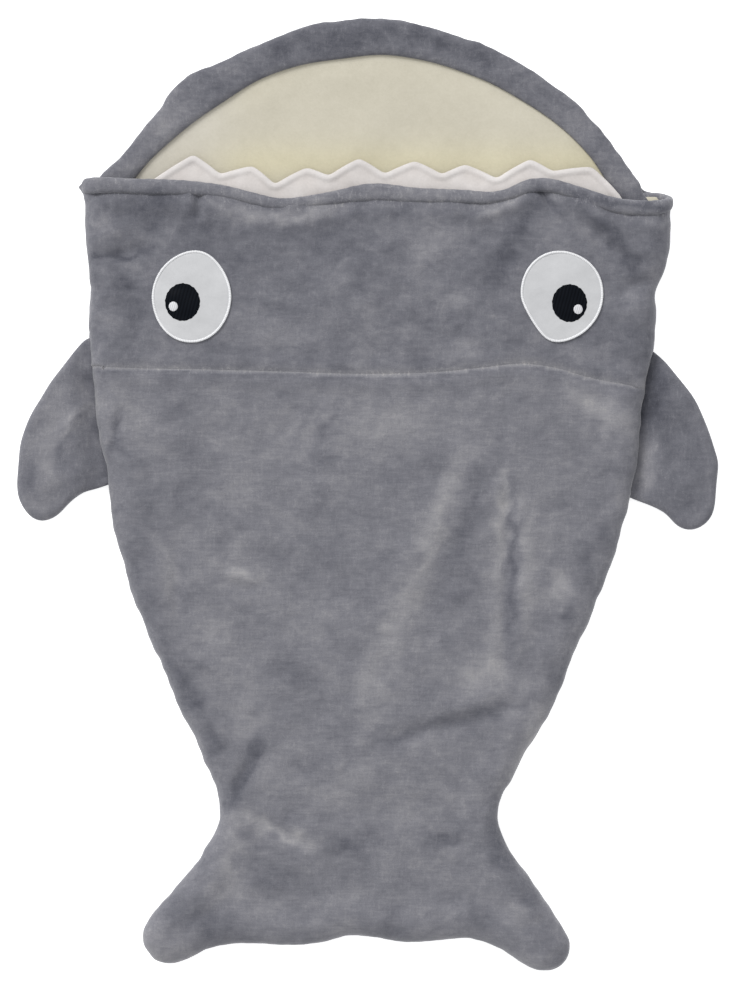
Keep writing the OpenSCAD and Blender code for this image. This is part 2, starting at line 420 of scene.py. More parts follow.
def apply_modifier(piece: Object, kind: str, **settings: object) -> None:
    """Adds a modifier with these settings and applies it.

    Args:
        piece: The piece.
        kind: The modifier's type.
        settings: Its settings.
    """
    bpy.ops.object.select_all(action="DESELECT")
    bpy.context.view_layer.objects.active = piece
    piece.select_set(True)
    modifier = piece.modifiers.new(kind.lower(), kind)
    for key, value in settings.items():
        setattr(modifier, key, value)
    bpy.ops.object.modifier_apply(modifier=modifier.name)


def join(name: str, parts: Sequence[Object]) -> Object:
    """Joins objects into the first and names the result.

    Args:
        name: The result's name.
        parts: The objects.

    Returns:
        The joined object.
    """
    bpy.ops.object.select_all(action="DESELECT")
    for part in parts:
        part.select_set(True)
    bpy.context.view_layer.objects.active = parts[0]
    bpy.ops.object.join()
    parts[0].name = name
    parts[0].data.name = name
    return parts[0]


def flat_outline(node: Object) -> Array:
    """Traces the outer loop of a CAD solid's flat top, anticlockwise in x and y.

    Args:
        node: The CAD node.

    Returns:
        The loop's points.
    """
    co = np.array([v.co for v in node.data.vertices], float)
    level = co[:, 2].max()
    keys = [(round(float(p[0]), 5), round(float(p[1]), 5)) for p in co]
    seen = set()
    for face in node.data.polygons:
        if all(abs(co[v][2] - level) < 2e-5 for v in face.vertices):
            ring = [keys[v] for v in face.vertices]
            seen.update(zip(ring, ring[1:] + ring[:1]))
    edges: dict[tuple[float, float], list[tuple[float, float]]] = {}
    for a, b in seen:
        if (b, a) not in seen and a != b:
            edges.setdefault(a, []).append(b)
    best: list[tuple[float, float]] = []
    while edges:
        start = next(iter(edges))
        loop = [start]
        while loop[-1] in edges:
            following = edges[loop[-1]]
            after = following.pop()
            if not following:
                del edges[loop[-1]]
            if after == start:
                break
            loop.append(after)
        best = max(best, loop, key=len)
    return anticlockwise(np.array(best))


def anticlockwise(loop: Array) -> Array:
    """Turns a loop round where it runs clockwise."""
    area = np.sum(loop[:, 0] * np.roll(loop[:, 1], -1) - np.roll(loop[:, 0], -1) * loop[:, 1])
    return loop if area > 0 else loop[::-1]


@dataclass(eq=False)
class Side:
    """One stretch of a skin's boundary.

    Attributes:
        path: The points along it, anticlockwise round the skin.
        rings: Steps of (inset, height, share of relief) that roll the edge over, or none for a plain cut.
        closed: Whether this stretch is the whole boundary.
    """

    path: Array
    rings: Table = ()
    closed: bool = False

    def inner(self) -> Array:
        """Gives the stretch as the flat part of the skin meets it.

        Returns:
            The stretch's points, moved in by the rim.
        """
        if not self.rings:
            return self.path
        return self.path + inward(self.path, self.closed) * self.rings[-1][0]


@dataclass
class Skin:
    """A sheet of cloth with rolled or plain edges.

    Attributes:
        name: The piece's name.
        sides: The boundary, anticlockwise.
        height: The flat part's height at each place.
        relief: The folds that the rolled edges share in.
        spacing: The distance between the mesh's points.
        facing: Which way the outer side looks.
    """

    name: str
    sides: list[Side]
    height: Height
    relief: Height
    spacing: float
    facing: Facing = Facing.UP

    def build(self) -> Object:
        """Makes the open skin, with its rim strips and its inside filled.

        Returns:
            The new object, not yet thickened.
        """
        points: list[Array] = []
        faces: list[tuple[int, ...]] = []
        count = 0
        for side in self.sides:
            if not side.rings:
                continue
            normal = inward(side.path, side.closed)
            rows = []
            for inset, level, share in side.rings:
                xy = side.path + normal * inset
                rows.append(np.column_stack([xy, level + share * self.relief(xy)]))
            rows[-1][:, 2] = self.height(rows[-1][:, :2])
            n = len(side.path)
            for r in range(len(rows) - 1):
                for i in range(n if side.closed else n - 1):
                    j = (i + 1) % n
                    a = count + r * n
                    faces.append((a + i, a + j, a + n + j, a + n + i))
            points.extend(rows)
            count += n * len(rows)
        inside, triangles = self._fill()
        faces.extend(tuple(count + k for k in t) for t in triangles)
        points.append(inside)
        made = make_object(self.name, np.vstack(points), faces)
        tidy_mesh(made, self.facing)
        return made

    def _fill(self) -> tuple[Array, list[tuple[int, ...]]]:
        """Fills the flat part with evenly spaced points.

        Returns:
            The points and the triangles.
        """
        runs = []
        for side in self.sides:
            inner = side.inner()
            runs.append(inner if side.closed else inner[:-1])
            if not side.closed and not np.allclose(inner[-1], self._next_start(side), atol=1e-7):
                runs.append(inner[-1:])
        loop = np.vstack(runs)
        low, high = loop.min(0), loop.max(0)
        rise = self.spacing * math.sqrt(3) / 2
        grid = []
        for k, y in enumerate(np.arange(low[1], high[1], rise)):
            x = np.arange(low[0] + (k % 2) * self.spacing / 2, high[0], self.spacing)
            grid.append(np.column_stack([x, np.full(len(x), y)]))
        spots = np.vstack(grid)
        spots = spots[within(spots, loop)]
        gap, _ = distance(spots, loop, closed=True)
        spots = spots[gap > 0.55 * self.spacing]
        flat = np.vstack([loop, spots])
        result = geometry.delaunay_2d_cdt(
            [Vector(p) for p in flat], [], [list(range(len(loop)))], 1, 1e-7, True
        )
        xy = np.array([tuple(v) for v in result[0]], float)
        kept = np.zeros(len(flat), int)
        for new, old in enumerate(result[3]):
            for k in old:
                kept[k] = new
        xy[kept] = flat
        triangles = np.array([tuple(f) for f in result[2]])
        triangles = triangles[within(xy[triangles].mean(1), loop)]
        return np.column_stack([xy, self.height(xy)]), [tuple(int(k) for k in f) for f in triangles]

    def _next_start(self, side: Side) -> Array:
        """Gives the inner start of the stretch after this one."""
        k = self.sides.index(side)
        return self.sides[(k + 1) % len(self.sides)].inner()[0]


def close_up(name: str, skins: Sequence[Skin]) -> Object:
    """Sews skins that share an outline into one closed piece.

    Args:
        name: The piece's name.
        skins: The skins, not built yet.

    Returns:
        The closed piece.
    """
    piece = join(name, [skin.build() for skin in skins])
    tidy_mesh(piece, None)
    return piece


def sweep(name: str, path: Array, across: Array, up: Array, wide: Array, high: Array, sections: int,
          closed: bool = False, power: float = 1.0) -> Object:
    """Sweeps an oval along a path.

    Args:
        name: The piece's name.
        path: The path's points.
        across: The oval's sideways direction at each point.
        up: The oval's upward direction at each point.
        wide: Half the oval's width at each point.
        high: Half the oval's height at each point.
        sections: How many points go round it.
        closed: Whether the path is a loop.
        power: Below 1 for an oval with flatter sides.

    Returns:
        The tube, with its ends capped where it isn't a loop.
    """
    turn = np.linspace(0, 2 * math.pi, sections, endpoint=False)
    level = np.sign(np.cos(turn)) * np.abs(np.cos(turn)) ** power
    rise = np.sign(np.sin(turn)) * np.abs(np.sin(turn)) ** power
    ring = (
        path[:, None, :]
        + across[:, None, :] * (wide[:, None] * level[None])[..., None]
        + up[:, None, :] * (high[:, None] * rise[None])[..., None]
    )
    n = len(path)
    points = ring.reshape(-1, 3)
    faces: list[tuple[int, ...]] = []
    for i in range(n if closed else n - 1):
        a, b = i * sections, ((i + 1) % n) * sections
        for k in range(sections):
            m = (k + 1) % sections
            faces.append((a + k, a + m, b + m, b + k))
    if not closed:
        faces.append(tuple(range(sections)))
        faces.append(tuple((n - 1) * sections + k for k in reversed(range(sections))))
    made = make_object(name, points, faces)
    uv = made.data.uv_layers.new(name="along")
    run = np.r_[0, np.cumsum(np.linalg.norm(np.diff(path, axis=0), axis=1))]
    for loop in made.data.loops:
        k = loop.vertex_index
        uv.data[loop.index].uv = (float(run[k // sections]), (k % sections) / sections)
    tidy_mesh(made, None)
    return made


# ---------------------------------------------------------------- finishes


class Nodes:
    """A small helper that lays out one material's nodes."""

    def __init__(self, name: str) -> None:
        """Starts an empty material with an output and a principled shader.

        Args:
            name: The material's name.
        """
        self.material = bpy.data.materials.new(name)
        self.material.use_nodes = True
        self.tree = self.material.node_tree
        self.tree.nodes.clear()
        self.output = self.tree.nodes.new("ShaderNodeOutputMaterial")
        self.shader = self.tree.nodes.new("ShaderNodeBsdfPrincipled")
        self.tree.links.new(self.shader.outputs["BSDF"], self.output.inputs["Surface"])

    def add(self, kind: str, inputs: dict | None = None, **settings: object) -> bpy.types.Node:
        """Adds a node.

        Args:
            kind: The node's type, without its ShaderNode prefix.
            inputs: Values or sockets for its inputs, by name or number.
            settings: Its own properties.

        Returns:
            The new node.
        """
        node = self.tree.nodes.new("ShaderNode" + kind)
        for key, value in settings.items():
            setattr(node, key, value)
        for key, value in (inputs or {}).items():
            socket = node.inputs[key]
            if isinstance(value, Socket):
                self.tree.links.new(value, socket)
            else:
                socket.default_value = value
        return node

    def math(self, kind: str, a: object, b: object = 0.0, clamp: bool = False) -> Socket:
        """Adds a maths node and gives its result."""
        return self.add("Math", {0: a, 1: b}, operation=kind, use_clamp=clamp).outputs[0]

    def total(self, *parts: tuple[object, float]) -> Socket:
        """Adds up values, each times its share, and keeps the sum at or below 1.

        Args:
            parts: Pairs of a value and its share.

        Returns:
            The sum.
        """
        first, *rest = (self.math("MULTIPLY", value, share) for value, share in parts)
        for part in rest:
            first = self.math("ADD", first, part, clamp=True)
        return first

    def noise(self, vector: object, scale: float, detail: float, rough: float, twist: float = 0.0) -> Socket:
        """Adds a noise texture and gives its value."""
        inputs = {"Vector": vector, "Scale": scale, "Detail": detail, "Roughness": rough, "Distortion": twist}
        return self.add("TexNoise", inputs).outputs["Fac"]

    def value(self, name: str) -> Socket:
        """Gives a value that the piece keeps at each of its points."""
        return self.add("Attribute", attribute_type="GEOMETRY", attribute_name=name).outputs["Fac"]

    def ramp(self, value: object, stops: Sequence[tuple[float, Colour]]) -> Socket:
        """Adds a colour ramp with these stops and gives its colour.

        Args:
            value: What drives the ramp.
            stops: Pairs of a position and a colour.

        Returns:
            The colour.
        """
        node = self.add("ValToRGB", {"Fac": value})
        ramp = node.color_ramp
        ramp.interpolation = "LINEAR"
        while len(ramp.elements) < len(stops):
            ramp.elements.new(0.5)
        for element, (place, colour) in zip(ramp.elements, stops):
            element.position = place
            element.color = (*colour, 1.0)
        return node.outputs["Color"]

    def place(self, scale: Sequence[float] = (1, 1, 1), turn: float = 0.0) -> Socket:
        """Gives the piece's own coordinates, stretched and turned about the vertical.

        Args:
            scale: How much each axis is stretched.
            turn: The turn in radians.

        Returns:
            The coordinates.
        """
        coords = self.add("TexCoord").outputs["Object"]
        node = self.add("Mapping", {"Vector": coords, "Scale": scale, "Rotation": (0, 0, turn)})
        return node.outputs["Vector"]

    def bump(self, height: object, strength: float, reach: float) -> Socket:
        """Adds a bump and gives its normal."""
        return self.add("Bump", {"Height": height, "Strength": strength, "Distance": reach}).outputs["Normal"]

    def finish(self, colour: object, rough: object, normal: object = None, sheen: float = 0.0,
               sheen_rough: float = 0.5, gloss: float = 0.3) -> bpy.types.Material:
        """Wires the shader and gives the finished material.

        Args:
            colour: The base colour.
            rough: The roughness.
            normal: The bumped normal, if any.
            sheen: The strength of the sheen.
            sheen_rough: The sheen's roughness.
            gloss: The strength of the gloss.

        Returns:
            The material.
        """
        sockets = self.shader.inputs
        for key, value in (("Base Color", colour), ("Roughness", rough), ("Normal", normal)):
            if isinstance(value, Socket):
                self.tree.links.new(value, sockets[key])
            elif value is not None:
                sockets[key].default_value = value
        sockets["Sheen Weight"].default_value = sheen
        sockets["Sheen Roughness"].default_value = sheen_rough
        sockets["Specular IOR Level"].default_value = gloss
        return self.material


@dataclass(frozen=True)
class PlushFinish:
    """Short-pile velour plush, brushed this way and that.

    Attributes:
        name: The material's name.
        level: How light its usual tone looks, from 0 to 1.
        patch: How many brushed patches there are to a metre.
        contrast: How strongly the patches differ.
        sheen: The pile's glow at a slant.
        reach: How far the tones spread to each side of the usual one.
        bright: How much light the pile gives back.
        ribs: How clearly the cloth's fine ribs show.
    """

    name: str
    level: float = 0.50
    patch: float = 26.0
    contrast: float = 1.0
    sheen: float = 0.30
    reach: float = 0.20
    bright: float = 0.84
    ribs: float = 0.16

    def tone(self, level: float) -> Colour:
        """Gives the colour that looks this light: cooler where it is dark."""
        plain = ((level + 0.055) / 1.055) ** 2.4 * self.bright
        return plain, plain * (1.0 - 0.15 * (level - 0.48)), plain * (1.112 - 0.75 * (level - 0.498))

    def build(self) -> bpy.types.Material:
        """Makes the material: brushed patches with painted shade and highlights from the piece's own stored
        tone, with painted highlight flecks and finer pile over them.

        Returns:
            The material.
        """
        n = Nodes(self.name)
        here = n.place()
        # The first value holds brushed patches with painted shade and painted highlights; the second says how
        # strongly painted highlight flecks show.
        nap, fleck = n.value(NAP_AND_SHADING), n.value(HIGHLIGHT_FLECK)
        patch = n.noise(n.place((1.0, 1.3, 1.0), 0.35), self.patch, 3.0, 0.5, 0.5)
        tuft = n.noise(n.place((0.75, 1.0, 1.0), -0.2), self.patch * 3.0, 3.0, 0.55, 0.7)
        small = n.noise(n.place((0.45, 1.0, 1.0), 0.05), self.patch * 8.0, 2.0, 0.55, 0.3)
        rib = n.noise(n.place((0.10, 1.0, 1.0), 0.01), 560.0, 1.0, 0.5)
        stroke = n.noise(n.place((1.0, 0.30, 1.0), 0.12), 380.0, 2.0, 0.55)
        grain = n.noise(here, 1000.0, 2.0, 0.6)
        shares = (
            (patch, 0.24 * self.contrast), (tuft, 0.22 * self.contrast), (small, 0.20 * self.contrast),
            (rib, self.ribs), (stroke, 0.10), (grain, 0.30),
        )
        tone = n.math("ADD", nap, 0.5)
        for value, share in shares:
            tone = n.math("ADD", n.math("MULTIPLY", n.math("SUBTRACT", value, 0.5), share), tone)
        # Painted highlight flecks: pale specks where the pile's noise peaks, as strong as the piece's fleck
        # value.
        highlight_flecks = n.math("ADD", stroke, n.math("MULTIPLY", grain, 0.5))
        pale = n.math("MAXIMUM", n.math("SUBTRACT", highlight_flecks, 0.80), 0.0)
        tone = n.math("ADD", n.math("MULTIPLY", n.math("MULTIPLY", pale, 3.2), fleck), tone, clamp=True)
        steps = (-0.5, -0.25, 0.0, 0.25, 0.5)
        stops = tuple((0.5 + step, self.tone(self.level + 2 * self.reach * step)) for step in steps)
        colour = n.ramp(tone, stops)
        pile = n.math("ADD", n.math("MULTIPLY", stroke, 0.6), n.math("MULTIPLY", grain, 0.3))
        pile = n.math("ADD", pile, n.math("MULTIPLY", tuft, 1.2))
        normal = n.bump(pile, 0.4, 0.0016)
        return n.finish(colour, 0.92, normal, self.sheen, 0.45, 0.12)


@dataclass(frozen=True)
class FleeceFinish:
    """Short soft fleece with fine pilling.

    Attributes:
        name: The material's name.
        low: The tone down in the pile.
        high: The tone at the top of the pile.
        grain: How many tufts there are to a metre.
        depth: The pile's depth.
        tint: The change of colour, for painted light, where the piece's nap value is 1.
    """

    name: str
    low: Colour
    high: Colour
    grain: float = 420.0
    depth: float = 0.0008
    tint: Colour = (0.075, 0.062, -0.050)

    def build(self) -> bpy.types.Material:
        """Makes the material.

        Returns:
            The material.
        """
        n = Nodes(self.name)
        here = n.place()
        cloud = n.noise(here, 11.0, 3.0, 0.5)
        tuft = n.noise(here, self.grain, 3.0, 0.65)
        pill = n.noise(here, self.grain * 0.28, 4.0, 0.6)
        tone = n.total((cloud, 0.45), (tuft, 0.3), (pill, 0.25))
        colour = n.ramp(tone, ((0.34, self.low), (0.62, self.high)))
        change = n.add("VectorMath", {0: self.tint, "Scale": n.value(NAP_AND_SHADING)}, operation="SCALE").outputs[0]
        colour = n.add("VectorMath", {0: colour, 1: change, 2: colour}, operation="MULTIPLY_ADD").outputs[0]
        height = n.math("ADD", n.math("MULTIPLY", tuft, 0.6), n.math("MULTIPLY", pill, 0.8))
        return n.finish(colour, 0.95, n.bump(height, 0.3, self.depth), sheen=0.1, gloss=0.12)


@dataclass(frozen=True)
class ThreadFinish:
    """Satin-stitched thread, laid side by side.

    Attributes:
        name: The material's name.
        colour: The thread's colour.
        shade: The colour between threads.
        pitch: How many threads there are to a metre.
        along: Whether the threads follow the piece's own map, as round a ring.
        gloss: How strongly it shines.
    """

    name: str
    colour: Colour
    shade: Colour
    pitch: float = 2400.0
    along: bool = False
    gloss: float = 0.4

    def build(self) -> bpy.types.Material:
        """Makes the material.

        Returns:
            The material.
        """
        n = Nodes(self.name)
        if self.along:
            coords = n.add("UVMap", uv_map="along").outputs["UV"]
            place = n.add("Mapping", {"Vector": coords, "Scale": (1.0, 0.0004, 1.0)}).outputs[0]
        else:
            place = n.place((1, 0.12, 1), 1.15)
        wave = n.add("TexWave", {
            "Vector": place, "Scale": self.pitch / WAVE_PERIOD,
            "Distortion": 0.6, "Detail": 2.0, "Detail Scale": 1.5,
        }, wave_type="BANDS", bands_direction="X")
        fleck = n.noise(n.place(), 900.0, 2.0, 0.5)
        value = n.total((wave.outputs["Fac"], 0.7), (fleck, 0.3))
        colour = n.ramp(value, ((0.1, self.shade), (0.75, self.colour)))
        return n.finish(colour, 0.48, n.bump(value, 0.4, 0.0003), gloss=self.gloss)


@dataclass(frozen=True)
class FloorFinish:
    """A plain pale studio floor.

    Attributes:
        name: The material's name.
        colour: Its colour.
        glow: How much light it gives off.
    """

    name: str = "pale_floor"
    colour: Colour = (0.93, 0.93, 0.93)
    glow: float = 0.60

    def build(self) -> bpy.types.Material:
        """Makes the material.

        Returns:
            The material.
        """
        n = Nodes(self.name)
        speck = n.noise(n.place(), 60.0, 2.0, 0.5)
        colour = n.ramp(speck, ((0.3, self.colour), (0.7, tuple(c * 1.01 for c in self.colour))))
        n.shader.inputs["Emission Color"].default_value = (1.0, 1.0, 1.0, 1.0)
        n.shader.inputs["Emission Strength"].default_value = self.glow
        return n.finish(colour, 0.9, gloss=0.1)


# ---------------------------------------------------------------- how the pile is brushed


@dataclass(frozen=True)
class NapAndShading:
    """Where the pile is brushed lighter or darker, where painted shade and highlights follow the folds, and
    where painted highlight flecks show.

    Attributes:
        streaks_and_shade: Brushed streaks and patches, with painted shade in creases and painted highlights
            on ridges, as steps of tone in hundredths.
        clouds: The wide unevenness between them.
        drift: How far the streaks' edges wander.
        strength: How boldly the streaks show.
    """

    # Steps of tone: some are brushed patches of the pile; many are painted shade along creases and painted
    # highlights along ridges of the padding.
    streaks_and_shade: tuple[Fold, ...] = folds(1.0, (
        (-9, 22, 0.6, 0.4, -235, 270, -180, 268, -150, 262),
        (-17, 4, 0.8, 0.4, -256, 224, -222, 224, -200, 233), (-7, 10, 0.6, 0.6, -232, 196, -222, 192),
        (9, 8, 0.8, 0.6, -256, 255, -246, 252), (9, 7, 0.8, 0.6, -256, 213, -240, 208),
        (5, 10, 0.7, 0.6, -250, 165, -235, 160),
        (19, 7, 0.6, 0.2, -142, 271, -118, 262, -80, 258, -46, 263, -14, 272),
        (-6, 8, 0, 0, -140, 252, -90, 246, -30, 250), (7, 4, 0.6, 0.4, -156, 272, -155, 255),
        (-4, 22, 0.5, 0.2, -140, 236, -90, 225, -10, 232), (14, 6, 0.7, 0.2, 148, 280, 122, 266, 96, 254),
        (-14, 9, 0.6, 0.3, 162, 286, 146, 256, 128, 222, 114, 182),
        (-15, 3.5, 0.8, 0.6, 164, 287, 172, 275, 182, 264),
        (-16, 7, 0.4, 0.5, 190, 274, 222, 252, 246, 226, 262, 196),
        (-14, 4.5, 0.4, 0.7, 184, 284, 226, 274, 282, 268), (8, 8, 0.6, 0.4, 196, 256, 214, 246),
        (7, 6, 0.4, 0.8, 238, 262, 276, 258), (-8, 7, 0.6, 0.8, 262, 230, 280, 236),
        (7, 8, 0.5, 0.8, 250, 205, 272, 205), (6, 10, 0.3, 0.3, 25, 205, 60, 236, 98, 252),
        (5, 9, 0.4, 0.4, 72, 172, 96, 190), (-5, 6, 0.2, 0.2, -60, 262, 10, 262, 70, 266),
        (-5, 18, 0.4, 0.6, 200, 160, 240, 150, 262, 150), (3, 14, 0, 0, -100, 150, 0, 152, 90, 146),
        (15, 11, 0.3, 0.6, 192, 94, 222, 80, 248, 62), (8, 12, 0.5, 0.4, -222, 80, -200, 62),
        (-5, 20, 0.5, 0.5, -176, 80, -168, 30, -180, -10),
        (-3, 22, 0.5, 0.5, -245, 250, -238, 200, -240, 150),
        (-8, 6, 0.4, 0.2, -238, 70, -226, 40, -226, 20),
        (-10, 2.8, 0.6, 0.4, -232, 76, -235.5, 58, -242.5, 33), (9, 7, 0.4, 0.4, -64, 36, -52, 62, -36, 90),
        (6, 6, 0.4, 0.4, -82, 40, -66, 70), (-9, 5, 0.4, 0.4, -44, 52, -30, 74),
        (-8, 7, 0.6, 0.6, -48, 36, -30, 34), (9, 18, 0.6, 0.6, -6, 66, 44, 66),
        (-6, 14, 0.3, 0.6, 20, 20, 74, 26), (-7, 24, 0.5, 0.5, -30, -70, 30, -68),
        (-6, 6, 0.3, 0.3, -68, -22, -40, -14, -10, -12), (13, 12, 0.4, 0.7, 94, 46, 76, 4, 58, -56),
        (12, 14, 0.6, 0.6, 58, -56, 36, -100, 18, -140), (9, 13, 0.5, 0.2, 14, -150, 0, -186, -12, -210),
        (-10, 13, 0.5, 0.3, 106, 26, 94, -20, 84, -60, 66, -120),
        (17, 6, 0.9, 0.5, 128, 18, 126, -40, 122, -80), (10, 9, 0.4, 0.3, 120, -80, 120, -120, 126, -180),
        (-15, 5.5, 0.4, 0.2, 135, 12, 136, -60, 136, -120, 132, -175),
        (10, 7, 0.3, 0.3, 150, 0, 152, -60, 150, -130), (15, 9, 0.6, 0.6, 182, -72, 184, -96),
        (-12, 7, 0.8, 0.8, 189, -112, 191, -124), (-8, 8, 0.5, 0.5, 204, -48, 206, -72),
        (-8, 9, 0.5, 0.5, 232, -26, 222, -46), (-11, 11, 0.4, 0.5, -222, -46, -214, -84, -198, -124),
        (-12, 10, 0.6, 0.5, -190, -140, -172, -180, -150, -216, -138, -240),
        (10, 7, 0.4, 0.5, -196, -40, -186, -70, -180, -104), (-7, 12, 0.5, 0.5, -200, 0, -212, -30),
        (-9, 7, 0.6, 0.6, -176, -96, -166, -112), (15, 5.5, 0.3, 0.3, -134, -70, -116, -79, -92, -81),
        (7, 9, 0.4, 0.4, -128, -46, -108, -48), (8, 13, 0.4, 0.4, -156, -116, -138, -132, -126, -150),
        (-11, 4.5, 0.5, 0.3, -166, -161, -146, -164), (-6, 14, 0.3, 0.3, -62, -150, -70, -190),
        (7, 16, 0.3, 0.3, 60, -160, 120, -172, 150, -166),
        (-9, 5.5, 0.5, 0.2, 166, -192, 120, -204, 60, -220, 10, -236, -24, -246),
        (12, 10, 0.3, 0.3, 172, -196, 156, -230, 140, -262, 130, -290),
        (-9, 6, 0.4, 0.4, 184, -160, 176, -184),
        (-17, 6.5, 0.2, 0.7, -98, -218, -108, -252, -116, -274, -130, -292),
        (-8, 10, 0.5, 0.4, -140, -226, -142, -246), (17, 5.8, 0.6, 0.2, -112, -304, -86, -317, -48, -333),
        (8, 9, 0.7, 0.2, -124, -312, -130, -345, -126, -378),
        (-7, 12, 0.5, 0.5, -138, -325, -170, -375, -204, -402), (-8, 18, 0.5, 0.5, -100, -352, -50, -358),
        (-10, 6, 0.6, 0.6, -36, -333, -10, -334), (-14, 8, 0.6, 0.6, 58, -328, 90, -322),
        (6, 4, 0.4, 0.4, 50, -318, 76, -316), (7, 5, 0.4, 0.4, 84, -334, 102, -322),
        (-12, 14, 0.7, 0.8, 120, -312, 130, -345, 152, -385, 172, -420),
        (10, 8, 0.5, 0.5, 140, -392, 160, -405), (-9, 16, 0.4, 0.4, -170, -404, -120, -406),
        (-10, 15, 0.5, 0.6, 6, -404, 52, -412), (-8, 11, 0.5, 0.5, 100, -404, 118, -406),
        (7, 20, 0.8, 0.8, -205, -418, -190, -430), (6, 16, 0.4, 0.4, -40, -275, -20, -290),
        (-12, 9, 0.7, 0.7, -85, 420, -74, 410), (-9, 11, 0.7, 0.7, -40, 420, -18, 426),
        (-10, 9, 0.5, 0.5, 0, 440, 40, 437, 90, 420, 120, 408),
        (-6, 20, 0.6, 0.5, -80, 425, 20, 436, 110, 414), (-8, 13, 0.6, 0.5, -150, 380, -130, 385),
        (12, 16, 0.6, 0.6, -200, 335, -176, 362), (6, 10, 0.6, 0.6, -222, 300, -240, 300),
        (6, 12, 0.4, 0.7, 230, 315, 250, 290),
    ))
    clouds: tuple[Ripple, ...] = (Ripple(3.6, 0.090, 211), Ripple(2.4, 0.036, 223), Ripple(1.6, 0.017, 227))
    drift: float = 0.0030
    strength: float = 1.7

    def tone(self, xy: Array) -> Array:
        """Gives the step of tone at each place, as a share of the finish's reach.

        Args:
            xy: The places, as x and y.

        Returns:
            The step of tone at each place.
        """
        sway = [Ripple(self.drift, length, seed).lift(xy) for length, seed in ((0.026, 229), (0.022, 233))]
        bent = xy + np.column_stack(sway)
        total = sum(part.lift(xy) for part in self.clouds)
        for tone_mark in self.streaks_and_shade:
            total = total + self.strength * tone_mark.lift(bent)
        return total / 100

    @staticmethod
    def write(piece: Object, name: str, values: Array) -> None:
        """Writes one value per vertex into a piece."""
        layer = piece.data.attributes.new(name, "FLOAT", "POINT")
        layer.data.foreach_set("value", values.astype(np.float32))

    def brush(self, piece: Object, pale: Height | None = None, more: Height | None = None) -> None:
        """Writes the brushed tone with its painted shade and highlights, and where painted highlight flecks
        show, into a piece.

        Args:
            piece: The plush piece, with its final shape.
            pale: How strongly painted highlight flecks show at each place, or None for a little everywhere.
            more: A further step of painted light and shade at each place, or None for no step.
        """
        co = np.array([v.co for v in piece.data.vertices], float)
        highlight_flecks = np.full(len(co), 0.12) if pale is None else pale(co[:, :2])
        tone = self.tone(co[:, :2])
        self.write(piece, NAP_AND_SHADING, tone if more is None else tone + more(co[:, :2]))
        self.write(piece, HIGHLIGHT_FLECK, highlight_flecks)


# The fins' brushed streaks, with painted shadow along each fin's root under the body's edge, and painted
# highlight and shade along the left fin's ridge.
FIN_STREAKS_AND_SHADE = folds(1.0, (
    (4, 50, 0.5, 0.5, -300, 120, -300, 0), (9, 9, 0.5, 0.5, -302, 50, -284, 74),
    (13, 2.8, 0.3, 0.3, -266, 84, -292, 51), (-13, 3, 0.3, 0.3, -268, 78, -282, 60),
    (9, 2.8, 0.3, 0.3, -265.5, 74, -280, 57), (9, 14, 0.7, 0.7, -322, -10, -300, -14),
    (-11, 7, 0.5, 0.5, -320, 36, -316, 6), (9, 7, 0.4, 0.4, -303, 44, -304, 4),
    (-11, 6, 0.5, 0.5, -290, 46, -291, 24), (-4, 10, 0.6, 0.6, -276, 10, -268, 26),
    (-9, 3.4, 1, 1, -264, 140, -260, 110, -256, 72, -247, 16),
    (-11, 10, 0.6, 0.4, 272, 125, 274, 105, 268, 70), (15, 9, 0.5, 0.7, 267, 50, 262, 12),
    (8, 5.5, 0.6, 0.6, 316, 60, 326, 20, 323, -10, 305, -28), (-7, 12, 0.6, 0.6, 274, 112, 268, 80),
    (-7, 45, 0.6, 0.6, 270, 100, 300, 60, 318, 0), (-12, 3, 0.8, 0.3, 264, 120, 261, 80, 256, 40),
))


Finish = PlushFinish | FleeceFinish | ThreadFinish


